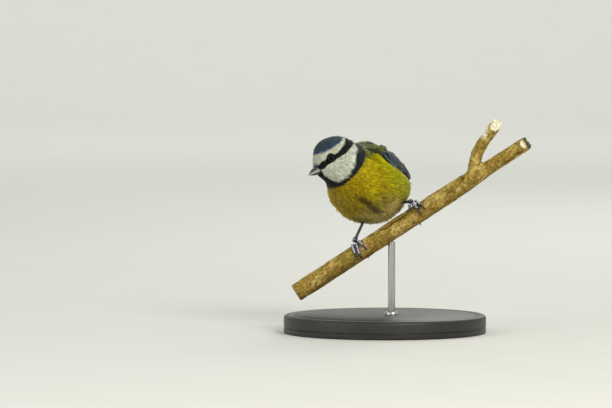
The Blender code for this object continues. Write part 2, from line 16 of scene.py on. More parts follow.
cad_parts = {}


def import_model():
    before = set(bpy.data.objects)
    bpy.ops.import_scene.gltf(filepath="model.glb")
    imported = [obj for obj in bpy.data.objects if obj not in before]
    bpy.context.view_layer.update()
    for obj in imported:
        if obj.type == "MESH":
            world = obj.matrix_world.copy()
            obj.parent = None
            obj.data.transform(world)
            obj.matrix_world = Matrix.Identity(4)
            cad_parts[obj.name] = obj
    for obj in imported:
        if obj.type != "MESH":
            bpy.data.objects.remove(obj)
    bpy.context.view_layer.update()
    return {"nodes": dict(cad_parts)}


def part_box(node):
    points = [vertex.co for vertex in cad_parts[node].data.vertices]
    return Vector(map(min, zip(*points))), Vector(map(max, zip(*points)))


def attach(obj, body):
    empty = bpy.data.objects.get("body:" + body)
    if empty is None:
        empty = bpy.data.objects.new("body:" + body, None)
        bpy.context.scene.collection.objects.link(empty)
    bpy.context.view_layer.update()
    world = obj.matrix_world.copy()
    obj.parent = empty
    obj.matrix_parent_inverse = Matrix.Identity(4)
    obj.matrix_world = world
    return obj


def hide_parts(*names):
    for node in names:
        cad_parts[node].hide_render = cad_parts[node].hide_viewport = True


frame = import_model()

MM = 0.001

# ---------------------------------------------------------------- frames of the bird's parts

BRANCH_SLOPE = math.radians(33.1)
BRANCH_AXIS = np.array((math.cos(BRANCH_SLOPE), 0.0, math.sin(BRANCH_SLOPE)))
BRANCH_TOP = np.array((-math.sin(BRANCH_SLOPE), 0.0, math.cos(BRANCH_SLOPE)))
BRANCH_MIDDLE = np.array((12.4, 0.0, 51.4))
BRANCH_RADIUS = 4.15
BRANCH_LOW_END = -62.0
BRANCH_HIGH_END = 61.5
EYE_CENTRE = np.array((4.8, 6.6, 0.9))
EYE_RADIUS = 2.1
EYE_AXIS = np.array((0.42, 0.90, 0.06)) / np.linalg.norm((0.42, 0.90, 0.06))
# How far the eyeball stands out from the solid's place, and the radius of the opening in its lids
EYE_OUT = -0.55
EYE_OPENING = 1.12
WING_BEND_X = 17.0
WING_LENGTH = 65.0
TAIL_LENGTH = 49.0

# Share of the way from bend to tip, angle from the back of the upper and the lower edge, half width
# and rise of the oval that the wing lies on, and the height of the oval's middle. The left wing has
# slipped down over the flank, and the right one is tucked in
LEFT_WING = np.array((
    (-0.06, 48.0, 58.0, 9.7, 8.4, 1.8),
    (-0.04, 63.0, 80.0, 11.4, 9.7, 1.7),
    (-0.02, 70.0, 92.0, 12.6, 10.5, 1.5),
    (0.00, 76.0, 99.0, 13.3, 11.0, 1.3),
    (0.04, 77.0, 105.0, 14.3, 11.6, 0.9),
    (0.08, 75.0, 107.0, 15.0, 12.1, 0.6),
    (0.20, 66.0, 106.0, 16.3, 13.1, 0.1),
    (0.35, 50.0, 105.0, 17.1, 13.2, -0.4),
    (0.50, 33.0, 106.0, 17.4, 12.5, -0.5),
    (0.65, 22.0, 107.0, 16.4, 11.0, 0.4),
    (0.80, 20.0, 100.0, 12.2, 8.2, 2.7),
    (0.92, 30.0, 88.0, 8.3, 5.9, 4.6),
    (1.00, 44.0, 70.0, 5.9, 5.0, 5.6),
))
RIGHT_WING = np.array((
    (-0.05, 54.0, 64.0, 9.2, 8.0, 1.8),
    (0.00, 58.0, 76.0, 12.5, 10.4, 1.3),
    (0.08, 56.0, 84.0, 14.6, 12.1, 0.8),
    (0.20, 50.0, 91.0, 15.6, 13.4, 0.1),
    (0.35, 41.0, 97.0, 16.0, 13.8, 0.0),
    (0.50, 30.0, 102.0, 15.7, 12.5, 0.2),
    (0.65, 21.0, 101.0, 14.2, 10.3, 1.2),
    (0.80, 20.0, 95.0, 10.4, 7.7, 3.2),
    (0.92, 30.0, 87.0, 7.6, 5.7, 4.8),
    (1.00, 44.0, 70.0, 5.9, 5.0, 5.6),
))
# Share of the way to the tail's tip, half width, and the rise of its arch
TAIL_STATIONS = np.array((
    (0.0, 3.6, 0.7),
    (0.3, 4.9, 0.6),
    (0.7, 5.9, 0.5),
    (0.93, 6.5, 0.4),
    (1.0, 6.0, 0.3),
))


def facing(centre, yaw, pitch, roll):
    """A part's frame as its centre and its three axes. Yaw turns its front from -Y towards -X, pitch
    lifts the front, and roll lifts the bird's left side."""
    yaw, pitch, roll = (math.radians(a) for a in (yaw, pitch, roll))
    level_reach = math.cos(pitch)
    forward = np.array((-math.sin(yaw) * level_reach, -math.cos(yaw) * level_reach, math.sin(pitch)))
    level = np.array((math.cos(yaw), -math.sin(yaw), 0.0))
    above = np.cross(forward, level)
    left = level * math.cos(roll) + above * math.sin(roll)
    up = above * math.cos(roll) - level * math.sin(roll)
    return np.array(centre), np.array((forward, left, up))


def local(places, part):
    return (places - part[0]) @ part[1].T


def world(places, part):
    return part[0] + places @ part[1]


def turned(part, place, about_z, about_y):
    """A frame that sits at a place in another frame, turned about its Z and then about its Y."""
    z, y = math.radians(about_z), math.radians(about_y)
    by_z = np.array(((math.cos(z), -math.sin(z), 0), (math.sin(z), math.cos(z), 0), (0, 0, 1)))
    by_y = np.array(((math.cos(y), 0, math.sin(y)), (0, 1, 0), (-math.sin(y), 0, math.cos(y))))
    return world(np.array(place), part), (by_z @ by_y).T @ part[1]


TRUNK = facing((-7.8, 6.0, 67.3), 13.0, 15.0, 27.0)
HEAD = facing((-22.7, -15.0, 78.6), 61.0, -15.5, 5.5)
TAIL = turned(TRUNK, (-27.0, 0.0, 2.6), 5.0, 5.0)
BILL_BASE = world(np.array((10.4, 0.0, -2.9)), HEAD)

# Where each foot stands along the branch, how far its knob is turned from the branch's top and
# lifted off it, the ankle inside the feathers, and the share of the leg where its feathers end
KNOB_ABOVE_BARK = 1.45
FEET = {
    "right": (-27.2, 10.0, 0.1, (-6.9, 6.4, 54.6), 0.42),
    "left": (3.2, -6.0, 0.7, (1.5, 11.5, 56.6), 0.40),
}

# Toes: shift along the branch at the start and the end, angles round the branch where the toe
# begins and ends, and the shift and the angle of the claw's tip
TOES = {
    "right": (
        (0.1, 0.6, -16.0, -104.0, 0.9, -160.0),
        (1.4, 1.9, 30.0, 70.0, 2.3, 97.0),
        (-0.2, -1.5, 36.0, 97.0, -1.5, 135.0),
        (-1.9, -3.1, 25.0, 84.0, -3.3, 112.0),
    ),
    "left": (
        (0.0, -1.6, -32.0, -118.0, -2.5, -171.0),
        (-1.6, -2.2, 10.0, 38.0, -2.5, 62.0),
        (0.1, 0.9, 20.0, 66.0, 0.6, 106.0),
        (1.8, 2.8, 8.0, 56.0, 3.3, 84.0),
    ),
}


def on_branch(along, angle, radius):
    """Points around the branch: along it from its middle, turned from its top towards the viewer."""
    front = np.array((0.0, -1.0, 0.0))
    turn = np.radians(np.asarray(angle, float))[..., None]
    along, radius = (np.asarray(a, float)[..., None] for a in (along, radius))
    return BRANCH_MIDDLE + BRANCH_AXIS * along + (BRANCH_TOP * np.cos(turn) + front * np.sin(turn)) * radius


def leg_ends(side):
    """Where the bare leg begins, and the knob above the toes."""
    along, turn, lift, ankle, shows = FEET[side]
    knob = on_branch(along, turn, BRANCH_RADIUS + KNOB_ABOVE_BARK + lift)
    return np.array(ankle) + (knob - np.array(ankle)) * shows, knob


# ---------------------------------------------------------------- small tools

def linear(hex_colour):
    """An sRGB hex colour as linear red, green and blue."""
    channels = np.array([int(hex_colour[i : i + 2], 16) for i in (1, 3, 5)]) / 255
    return np.where(channels <= 0.04045, channels / 12.92, ((channels + 0.055) / 1.055) ** 2.4)


def unit(vectors):
    return vectors / np.maximum(np.linalg.norm(vectors, axis=-1, keepdims=True), 1e-9)


def step(edge_low, edge_high, values):
    """A soft step from 0 to 1 between two values."""
    t = np.clip((values - edge_low) / (edge_high - edge_low), 0, 1)
    return t * t * (3 - 2 * t)


def blend(a, b, share):
    share = np.asarray(share)[..., None]
    return a * (1 - share) + b * share


def layered(colour, *layers):
    """A colour under layers of other colours, each with the share to which it covers what is below."""
    for over, share in layers:
        colour = blend(colour, over, share)
    return colour


def window(begins, full, falls, ends, values):
    """A soft window: 1 from full to falls, and 0 before begins and after ends."""
    return step(begins, full, values) * step(ends, falls, values)


def looked_up(table, at):
    """A table's columns after its first, each between its rows at the first column's values."""
    return [np.interp(at, table[:, 0], column) for column in table.T[1:]]


def from_line(places, start, axis):
    """How far along a line each place is from its start, and how far off the line."""
    away = places - start
    along = away @ axis
    return along, np.linalg.norm(away - along[:, None] * axis, axis=1)


def mottle(places, size, seed):
    """Soft irregular patches of about this size in millimetres, between -1 and 1."""
    rng = np.random.default_rng(seed)
    total = np.zeros(places.shape[:-1])
    for _ in range(7):
        wave = unit(rng.normal(size=3)) * 2 * math.pi / (size * rng.uniform(0.7, 1.6))
        total += np.sin(places @ wave + rng.uniform(0, 6.28) + 1.3 * np.sin(places @ wave[[1, 2, 0]]))
    return total / 4.0


def angles_round(count):
    """This many even angles once around."""
    return np.linspace(0, 2 * math.pi, count, endpoint=False)


def mesh_from(name, places, loops, sizes):
    """A mesh from points in millimetres, the corners of its faces in one row, and the faces' sizes."""
    mesh = bpy.data.meshes.new(name)
    mesh.vertices.add(len(places))
    mesh.vertices.foreach_set("co", (np.asarray(places, np.float32) * MM).ravel())
    mesh.loops.add(len(loops))
    mesh.loops.foreach_set("vertex_index", np.asarray(loops, np.int32))
    mesh.polygons.add(len(sizes))
    starts = np.concatenate(([0], np.cumsum(sizes)[:-1])).astype(np.int32)
    mesh.polygons.foreach_set("loop_start", starts)
    mesh.update(calc_edges=True)
    mesh.shade_smooth()
    return mesh


def piece(name, mesh, finish, slot, *nodes):
    """A finished piece of the model, with its material and the nodes it stands for; slot is not used."""
    obj = placed(name, mesh)
    mesh.materials.clear()
    mesh.materials.append(finish)
    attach(obj, "root")
    if nodes:
        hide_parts(*nodes)
    return obj


def paint(mesh, colours):
    """Stores a colour for each point, which the materials read."""
    layer = mesh.attributes.new("painted", "FLOAT_COLOR", "POINT")
    rgba = np.ones((len(mesh.vertices), 4), np.float32)
    rgba[:, :3] = colours
    layer.data.foreach_set("color", rgba.ravel())


def placed(name, data):
    """A new object in the scene with this mesh, light or camera."""
    obj = bpy.data.objects.new(name, data)
    bpy.context.scene.collection.objects.link(obj)
    return obj


def numbers(members, key, width, kind=np.float32):
    """A property of every point, edge, corner or triangle of a mesh, as rows of this many numbers."""
    found = np.empty(len(members) * width, kind)
    members.foreach_get(key, found)
    return found.reshape(-1, width)


def points_of(mesh):
    return numbers(mesh.vertices, "co", 3).astype(float) / MM


def normals_of(mesh):
    return numbers(mesh.vertex_normals, "vector", 3).astype(float)


def triangles_of(mesh):
    mesh.calc_loop_triangles()
    return numbers(mesh.loop_triangles, "vertices", 3, np.int32)


def add_uv(mesh, name, per_point):
    """A UV map from one place for each point."""
    index = numbers(mesh.loops, "vertex_index", 1, np.int32)[:, 0]
    layer = mesh.uv_layers.new(name=name)
    layer.data.foreach_set("uv", np.asarray(per_point, np.float32)[index].ravel())


def move_points(mesh, places):
    mesh.vertices.foreach_set("co", (np.asarray(places, np.float32) * MM).ravel())
    mesh.update()


def mesh_of(bm, name):
    """A mesh from what has been gathered in a bmesh, which is freed."""
    mesh = bpy.data.meshes.new(name)
    bm.to_mesh(mesh)
    bm.free()
    return mesh


def joined(nodes, name):
    """A copy of some solids as one mesh, each with its loose triangles merged."""
    bm = bmesh.new()
    for node in nodes:
        bm.from_mesh(frame["nodes"][node].data)
    bmesh.ops.remove_doubles(bm, verts=bm.verts, dist=1e-6)
    return mesh_of(bm, name)


def remeshed(mesh, grid, swell, softening):
    """One even surface round all the bodies of a mesh. Swell closes the gaps between them first."""
    obj = placed("remeshed", mesh)
    if swell:
        out = obj.modifiers.new("swell", "DISPLACE")
        out.strength = swell * MM
        out.mid_level = 0.0
    even = obj.modifiers.new("even", "REMESH")
    even.mode = "VOXEL"
    even.voxel_size = grid * MM
    even.use_smooth_shade = True
    soft = obj.modifiers.new("soft", "SMOOTH")
    soft.factor = 0.5
    soft.iterations = softening
    bpy.context.view_layer.update()
    made = bpy.data.meshes.new_from_object(obj.evaluated_get(bpy.context.evaluated_depsgraph_get()))
    bpy.data.objects.remove(obj)
    made.shade_smooth()
    return made


def outward(mesh, merged=True):
    """Turns the faces of closed bodies outwards, after their doubled points are merged."""
    bm = bmesh.new()
    bm.from_mesh(mesh)
    if merged:
        bmesh.ops.remove_doubles(bm, verts=bm.verts, dist=1e-7)
    bmesh.ops.recalc_face_normals(bm, faces=bm.faces)
    bm.to_mesh(mesh)
    bm.free()


# ---------------------------------------------------------------- materials

def add(tree, kind, inputs=None, **settings):
    """Adds a node with its settings. An input that is a socket is linked, and any other is a value."""
    node = tree.nodes.new("ShaderNode" + kind)
    for key, value in settings.items():
        setattr(node, key, value)
    for key, value in (inputs or {}).items():
        if isinstance(value, bpy.types.NodeSocket):
            tree.links.new(value, node.inputs[key])
        else:
            node.inputs[key].default_value = value
    return node


def new_material(name, **shader_values):
    """A material whose shader has these plain values on its own sockets."""
    made = bpy.data.materials.new(name)
    made.use_nodes = True
    for key, value in shader_values.items():
        made.node_tree.nodes["Principled BSDF"].inputs[key.replace("_", " ")].default_value = value
    return made, made.node_tree


def finished(made, colour, height=None, depth=0.0, strength=0.0):
    """Links a colour to a material's shader, and a relief that is this many millimetres deep."""
    tree = made.node_tree
    shader = tree.nodes["Principled BSDF"]
    tree.links.new(colour, shader.inputs["Base Color"])
    if depth:
        relief = add(tree, "Bump", {"Height": height, "Distance": depth * MM, "Strength": strength})
        tree.links.new(relief.outputs["Normal"], shader.inputs["Normal"])
    return made


def per_mm(size):
    """A pattern's scale on Object coordinates, for marks of this many millimetres."""
    return 1.0 / (size * MM)


def shaded(tree, pattern, span, levels):
    """The colour painted on the points, darkened and lightened where a pattern runs over its span."""
    colour = add(tree, "Attribute", attribute_name="painted").outputs["Color"]
    limits = {"From Min": span[0], "From Max": span[1], "To Min": levels[0], "To Max": levels[1]}
    level = add(tree, "MapRange", {"Value": pattern, **limits}).outputs["Result"]
    tinted = add(tree, "Mix", {0: 1.0, 6: colour, 7: level}, data_type="RGBA", blend_type="MULTIPLY")
    return tinted.outputs[2]


def speckled(name, size, detail, levels, relief=(), span=(0.3, 0.7), unevenness=0.5, **shader_values):
    """A material with painted colours and specks of a size in millimetres. relief is how deep in
    millimetres, and how strongly, the specks stand out."""
    made, tree = new_material(name, **shader_values)
    place = add(tree, "TexCoord").outputs["Object"]
    pattern = {"Vector": place, "Scale": per_mm(size), "Detail": detail, "Roughness": unevenness}
    specks = add(tree, "TexNoise", pattern).outputs["Fac"]
    return finished(made, shaded(tree, specks, span, levels), specks, *relief)


def grained(name, colours, scale, detail, stretch=(1, 1, 1), stops=(0, 1), relief=(), **shader_values):
    """A material whose grain runs between two colours, stretched along the piece's axes."""
    made, tree = new_material(name, **shader_values)
    place = add(tree, "TexCoord").outputs["Object"]
    place = add(tree, "Mapping", {"Vector": place, "Scale": stretch}).outputs["Vector"]
    grain = add(tree, "TexNoise", {"Vector": place, "Scale": scale, "Detail": detail}).outputs["Fac"]
    ramp = add(tree, "ValToRGB", {"Fac": grain})
    for element, stop, colour in zip(ramp.color_ramp.elements, stops, colours):
        element.position = stop
        element.color = (*linear(colour), 1)
    return finished(made, ramp.outputs["Color"], grain, *relief)


def flight_feather():
    """Flight feather: a closed vane of barbs hooked together, smoother than the body's feathers, so it
    takes a soft gloss. The barbs are drawn 0.3 mm apart, three times as coarse as real ones."""
    made, tree = new_material("flight feather, zipped vane", Roughness=0.58, Specular_IOR_Level=0.35)
    place = add(tree, "UVMap", uv_map="vane")
    apart = add(tree, "SeparateXYZ", {"Vector": place.outputs["UV"]})
    across = add(tree, "Math", {0: apart.outputs["X"]}, operation="ABSOLUTE").outputs[0]
    slant = {0: across, 1: -0.9, 2: apart.outputs["Y"]}
    slanted = add(tree, "Math", slant, operation="MULTIPLY_ADD").outputs[0]
    turns = add(tree, "Math", {0: slanted, 1: 2 * math.pi / 0.3}, operation="MULTIPLY").outputs[0]
    barbs = add(tree, "Math", {0: turns}, operation="SINE").outputs[0]
    return finished(made, shaded(tree, barbs, (-1.0, 1.0), (0.88, 1.06)), barbs, 0.03, 0.6)


def glass_eye():
    """Glass eye, blown and polished: a dark brown iris round a black pupil under clear glass, so the
    lights show as small sharp highlights."""
    made, tree = new_material("glass eye, polished", Roughness=0.02, IOR=1.38, Specular_IOR_Level=0.16)
    return finished(made, add(tree, "Attribute", attribute_name="painted").outputs["Color"])


def horn(name, roughness, gloss):
    """Horn of the bill and the claws: keratin sheath worn smooth, so it shines along its ridges. Its
    growth marks are drawn 0.5 mm long, coarser than real ones, so that they show."""
    look = {"Roughness": roughness, "Coat_Weight": gloss, "Coat_Roughness": 0.25, "IOR": 1.54}
    return speckled(name, 0.5, 3.0, (0.8, 1.15), (0.04, 0.35), **look)


def scaled_skin(name, roughness, gloss):
    """Bare skin: horny scales or thin leather, dry, with a grain of 0.3 mm, coarser than real to show."""
    made, tree = new_material(name, Roughness=roughness, Coat_Weight=gloss, Coat_Roughness=0.3)
    colour = add(tree, "Attribute", attribute_name="painted").outputs["Color"]
    place = add(tree, "TexCoord").outputs["Object"]
    grain = add(tree, "TexVoronoi", {"Vector": place, "Scale": per_mm(0.32)}, feature="DISTANCE_TO_EDGE")
    return finished(made, colour, grain.outputs["Distance"], 0.06, 0.4)


# Contour feather: keratin barbs, matt, with a faint sheen along the edges of the coat. The specks of
# 0.35 mm are about the width of three barbs, the finest that show
FEATHER = speckled(
    "contour feather, matt keratin barbs",
    0.35,
    2.0,
    (0.82, 1.14),
    Roughness=0.78,
    Sheen_Weight=0.06,
    Sheen_Roughness=0.5,
    Specular_IOR_Level=0.14,
)
VANE = flight_feather()
EYE_GLASS = glass_eye()
BILL_HORN = horn("bill horn, worn smooth", 0.36, 0.2)
CLAW_HORN = horn("claw horn, dark", 0.3, 0.3)
FOOT_SKIN = scaled_skin("scaled foot, horny skin", 0.36, 0.2)
LID_SKIN = scaled_skin("eyelid, thin bare skin", 0.7, 0.0)
# Bark of a young branch: thin dry cork, matt, with specks and pits of about 1 mm. Its larger colours
# and its fissures are painted on the points
BARK = speckled(
    "bark, thin dry cork",
    1.3,
    6.0,
    (0.28, 1.62),
    (0.3, 0.8),
    span=(0.34, 0.66),
    unevenness=0.75,
    Roughness=0.86,
    Specular_IOR_Level=0.25,
)
# Turned beech under black satin lacquer: nearly even, with a soft broad highlight and a faint grain,
# 1.2 mm across, that shows in the gloss
LACQUER = grained(
    "turned wood, black satin lacquer",
    ("#191817", "#26231F"),
    per_mm(11.0),
    4.0,
    stretch=(1.0, 9.0, 9.0),
    stops=(0.35, 0.7),
    relief=(0.05, 0.25),
    Roughness=0.5,
    Coat_Weight=0.12,
    Coat_Roughness=0.35,
)
# Stainless steel rod, brushed along its length: lines of 0.3 mm in its gloss, coarser than real ones
STEEL = grained(
    "stainless steel, brushed",
    ("#A09F9B", "#C9C8C4"),
    per_mm(0.3),
    2.0,
    stretch=(1.0, 1.0, 0.03),
    relief=(0.02, 0.3),
    Metallic=1.0,
    Roughness=0.28,
)
# Pale seamless paper: matt and even
PAPER = grained("seamless paper, pale", ("#D9D9D2", "#DEDED8"), 40.0, 3.0, Roughness=0.9)

# ---------------------------------------------------------------- the bird's markings

CAP = linear("#33434A")
CAP_EDGE = linear("#31486C")
WHITE_BAND = linear("#C6CAB4")
CHEEK = linear("#CCD1C0")
STRIPE = linear("#121312")
COLLAR = linear("#182226")
NAPE_PATCH = linear("#9FA893")
MANTLE = linear("#636927")
RUMP = linear("#8D922C")
BREAST = linear("#B3A500")
BREAST_DEEP = linear("#A38600")
FLANK = linear("#A2A704")
BELLY = linear("#CDB968")
BELLY_GREY = linear("#90833A")
BELLY_STREAK = linear("#352B14")
VENT = linear("#C9C184")
WING_BLUE = linear("#334B5C")
WING_TEAL = linear("#3B544A")
THIGH = linear("#958639")

# Where the cheek's white ends below, and where the dark collar ends, as heights in the head's frame
# at places forward in it
CHEEK_ENDS = np.array((
    (-11.2, 3.0),
    (-10.5, 1.4),
    (-7.1, -0.7),
    (-4.5, -5.0),
    (-1.2, -8.3),
    (2.4, -10.2),
    (4.7, -10.3),
))
COLLAR_ENDS = np.array((
    (-17.0, 30.0),
    (-15.6, 6.0),
    (-14.2, 0.5),
    (-13.6, -1.8),
    (-10.0, -5.3),
    (-5.3, -8.3),
    (-0.3, -11.2),
    (2.4, -12.8),
    (9.0, -13.4),
))
# Degrees round the head from the bill, and the angles from the cap's middle where the eye stripe
# begins and ends
CAP_AXIS = unit(np.array((0.208, 0.0, 0.978)))
STRIPE_EDGES = np.array((
    (0, 95, 98),
    (10, 88, 97),
    (22, 77, 95.5),
    (39, 73.5, 91.5),
    (60, 72, 88),
    (85, 71, 87),
    (105, 65, 84),
    (130, 59, 82),
    (180, 56, 80),
))


def from_eye(q):
    """Millimetres from the axis of the nearer eye, for places in the head's frame."""
    folded = np.stack((q[:, 0], np.abs(q[:, 1]), q[:, 2]), axis=1)
    along, off = from_line(folded, EYE_CENTRE, EYE_AXIS)
    return off + 9.0 * (along < -3.0)


def head_markings(q):
    """Blue cap, white band, black eye stripe, white cheek, black bib and dark collar, and how far each
    place belongs to the head. q is in the head's frame."""
    x, side, z = q[:, 0], np.abs(q[:, 1]), q[:, 2]
    polar = np.degrees(np.arccos(np.clip(unit(q) @ CAP_AXIS, -1, 1))) + 1.1 * mottle(q, 1.3, 60)
    stripe_top, stripe_end = looked_up(STRIPE_EDGES, np.degrees(np.arctan2(side, x)))
    cheek = step(-1.0, 1.0, polar - stripe_end)
    dark_strokes = step(0.5, 1.3, mottle(q * (0.4, 1, 1), 0.7, 61))
    ragged = 0.35 * mottle(q, 1.5, 62) + 0.9 * mottle(q * (1, 1, 0.3), 0.6, 67)
    below = step(-0.5, 0.5, looked_up(CHEEK_ENDS, x)[0] + ragged - z)
    behind = step(9.6, 10.6, -x) * (1 - step(3.2, 4.4, z))
    bib_width = np.interp(z, (-11.0, -8.0, -4.5), (4.4, 2.9, 2.5)) + 0.25 * mottle(q, 1.0, 63)
    bib = step(bib_width + 0.4, bib_width - 0.4, side) * step(3.2, 4.2, x) * step(-3.6, -4.4, z)
    lores = step(7.6, 8.4, x) * window(-3.2, -2.4, -1.4, -0.4, z) * step(0.8, 1.8, side)
    dark = np.maximum.reduce((below, behind * cheek, bib, lores))
    colour = layered(
        CAP,
        (CAP_EDGE, step(36, 52, polar) * 0.85),
        (WHITE_BAND, step(49.5, 55.5, polar + 2.6 * mottle(q * (1, 1, 0.5), 0.7, 66))),
        (STRIPE, step(-1.2, 1.2, polar - stripe_top) * (1 - cheek)),
        (CHEEK, cheek),
        (COLLAR, dark_strokes * (0.14 + 0.38 * cheek)),
        (blend(COLLAR, STRIPE, step(-4, 4, x)), dark),
        (STRIPE, step(2.2, 1.8, from_eye(q))),
    )
    strokes = 0.12 * mottle(q * (0.35, 1, 1), 1.0, 70) + 0.08 * mottle(q, 2.2, 71)
    colour = np.clip(colour * (1 + strokes)[:, None], 0, 1)
    return colour, step(-0.5, 0.5, z - looked_up(COLLAR_ENDS, x)[0])


def body_markings(t):
    """Olive mantle, yellow breast and flanks, dusky line and pale feathers on the belly, and painted shade
    on the breast's right side. t is in the trunk's frame."""
    x, y, z = t.T
    from_back = np.degrees(np.arctan2(np.abs(y), z))
    middle = np.interp(x, (-4, 8, 12, 18), (1.0, -1.4, -1.8, -4.4))
    streak = step(2.6, 0.6, np.abs(y - middle)) * step(-8, -12, z) * window(-1, 5, 17, 21, x)
    under = layered(
        BREAST,
        # Deeper yellow in uneven patches, and more of it on the bird's right side: painted shade on the side
        # away from the light
        (BREAST_DEEP, 0.35 + 0.3 * mottle(t, 9.0, 3) + 0.35 * step(4, -8, y)),
        (FLANK, step(6, -6, x) * 0.8),
        (FLANK, step(8, 14, y) * 0.7),
        (BELLY_GREY, step(-8, -14, z) * step(16, 8, x) * step(12, 5, np.abs(y - 1)) * 0.7),
        (BELLY, step(13, 6, np.abs(y + 0.5)) * step(8, 0, x) * step(-8, -12, z - 0.12 * x)),
        (VENT, step(-4, -26, x) * step(90, 125, from_back)),
        (BELLY_STREAK, streak * (0.75 + 0.25 * mottle(t, 1.6, 68))),
    )
    mantle = blend(MANTLE, RUMP, step(-14, -26, x))
    mantle_ends = np.interp(x, (-30, -14, 0, 14, 22), (88, 84, 76, 70, 70))
    strokes = 1 + 0.17 * mottle(t * (0.22, 1, 1), 1.6, 64) + 0.12 * mottle(t * (0.4, 1, 1), 3.2, 65)
    colour = blend(under, mantle, step(4, -4, from_back - mantle_ends))
    return colour * np.clip(strokes, 0.6, 1.4)[:, None]


def markings(places):
    """The colour of the plumage at any place on the bird, for the coat and for the skin under it, where
    it is painted darker as shade.
    """
    q = local(places, HEAD)
    x, side, z = q[:, 0], np.abs(q[:, 1]), q[:, 2]
    nape = window(-17.6, -16.6, -14.8, -14.0, x) * step(-2.2, -1.2, z) * step(5.0, 4.0, side)
    body = blend(body_markings(local(places, TRUNK)), NAPE_PATCH, nape * 0.3)
    head, belongs = head_markings(q)
    near_head = step(26.0, 22.0, np.linalg.norm(q, axis=1))
    colour = blend(body, head, belongs * near_head)
    for foot in FEET:
        reach = np.linalg.norm(places - leg_ends(foot)[0], axis=1)
        colour = blend(colour, THIGH, step(6.5, 2.5, reach))
    return colour


# ---------------------------------------------------------------- skin and the lie of the coat

# Millimetres that the solids swell by, so that one skin closes the gaps between them, and how deep the
# coat is under a wing
SWELL = 0.28
COAT_UNDER_WING = 0.25
SKIN_GRID = 0.75
HEAD_REACH = 15.0


def coat_depth(places):
    """How deep the feathers are over the skin: least round the bill and the eyes, most on the belly."""
    from_bill = np.linalg.norm(places - BILL_BASE, axis=1)
    depth = np.interp(from_bill, (0, 3, 8, 14, 22, 32), (0.3, 0.45, 0.8, 1.2, 1.7, 2.0))
    depth = depth * np.interp(from_eye(local(places, HEAD)), (1.6, 4.0), (0.45, 1.0))
    return depth + (COAT_UNDER_WING - depth) * step(-2.5, 1.5, inside_wing(local(places, TRUNK)))


def wing_station(share, left):
    """The wing stations' numbers at a share of the way to the tip, for the left or the right wing."""
    pairs = zip(looked_up(LEFT_WING, share), looked_up(RIGHT_WING, share))
    return [np.where(left, of_left, of_right) for of_left, of_right in pairs]


def wing_share(t):
    """Share along the wing and share across it, for places in the trunk's frame."""
    share = (WING_BEND_X - t[:, 0]) / WING_LENGTH
    upper, lower, half_width, rise, middle = wing_station(share, t[:, 1] > 0)
    angle = np.degrees(np.arctan2(np.abs(t[:, 1]) / half_width, (t[:, 2] - middle) / rise))
    return share, (angle - upper) / (lower - upper), half_width * np.radians(lower - upper)


def inside_wing(t):
    """How many millimetres inside the edges of a folded wing a place is, or how far outside if below 0."""
    share, across, arc = wing_share(t)
    lengthways = np.minimum((share + 0.05) * WING_LENGTH, (0.97 - share) * WING_LENGTH)
    return np.minimum.reduce((across * arc, (1 - across) * arc + 1.5, lengthways))


def beside_wing(t):
    """How far the back sinks beside the left wing, so that wing and mantle make one even line."""
    share = (WING_BEND_X - t[:, 0]) / WING_LENGTH
    from_back = np.degrees(np.arctan2(t[:, 1], t[:, 2]))
    sunk = 2.1 * step(26, 44, from_back) * step(105, 90, from_back)
    return sunk * step(-0.02, 0.12, share) * step(0.62, 0.45, share)


def lie_of_coat(places, normals):
    """The direction in which feathers lie: away from the bill over head and breast, and towards the
    tail over the rest; down the leg on the thighs."""
    t = local(places, TRUNK)
    from_bill = unit(places - BILL_BASE)
    weight = step(-8.0, 18.0, t[:, 0]) * step(1.0, -6.0, inside_wing(t))
    flow = blend(np.broadcast_to(-TRUNK[1][0], places.shape), from_bill, weight)
    for side in FEET:
        begins, knob = leg_ends(side)
        near = step(7.5, 3.0, np.linalg.norm(places - begins, axis=1))
        flow = blend(flow, unit(knob - begins), near)
    flow = flow - normals * np.sum(flow * normals, axis=1, keepdims=True)
    return unit(flow)


def eased(mesh, weight, times):
    """Eases the ledges of a mesh where the weight is above 0, each point towards its neighbours' middle."""
    a, b = numbers(mesh.edges, "vertices", 2, np.int32).T
    places = points_of(mesh)
    neighbours = np.bincount(np.concatenate((a, b)), minlength=len(places))[:, None]
    for _ in range(times):
        total = np.zeros_like(places)
        np.add.at(total, a, places[b])
        np.add.at(total, b, places[a])
        places += (total / neighbours - places) * weight[:, None] * 0.7
    move_points(mesh, places)


# The solids have ledges round the wings and sockets for the eyes, which the skin eases out. Under the
# eyeballs it sinks again
flesh = remeshed(joined(("head", "neck", "trunk"), "flesh"), SKIN_GRID, SWELL, 5)
eased(flesh, step(4.5, 2.0, np.abs(inside_wing(local(points_of(flesh), TRUNK)))), 30)
eased(flesh, step(4.4, 3.2, from_eye(local(points_of(flesh), HEAD))), 160)
skin_places = points_of(flesh) - normals_of(flesh) * SWELL
sunk = step(1.7, 1.1, from_eye(local(skin_places, HEAD))) + beside_wing(local(skin_places, TRUNK))
skin_places -= normals_of(flesh) * (coat_depth(skin_places) + sunk)[:, None]
move_points(flesh, skin_places)
coat_places = skin_places + normals_of(flesh) * coat_depth(skin_places)[:, None]
# The skin under the coat takes the plumage's colours at 0.8 of their brightness: painted shade deep in the
# coat, which shows between the feathers
paint(flesh, markings(coat_places) * 0.8)
piece("skin", flesh, FEATHER, "body_feathers", "head", "neck", "trunk")
SKIN_TREE = BVHTree.FromPolygons(points_of(flesh).tolist(), triangles_of(flesh).tolist(), all_triangles=True)


def onto_skin(places):
    """The nearest place on the skin to each place, and its normal."""
    found = [SKIN_TREE.find_nearest(Vector(p)) for p in places]
    return np.array([f[0] for f in found]), np.array([f[1] for f in found])


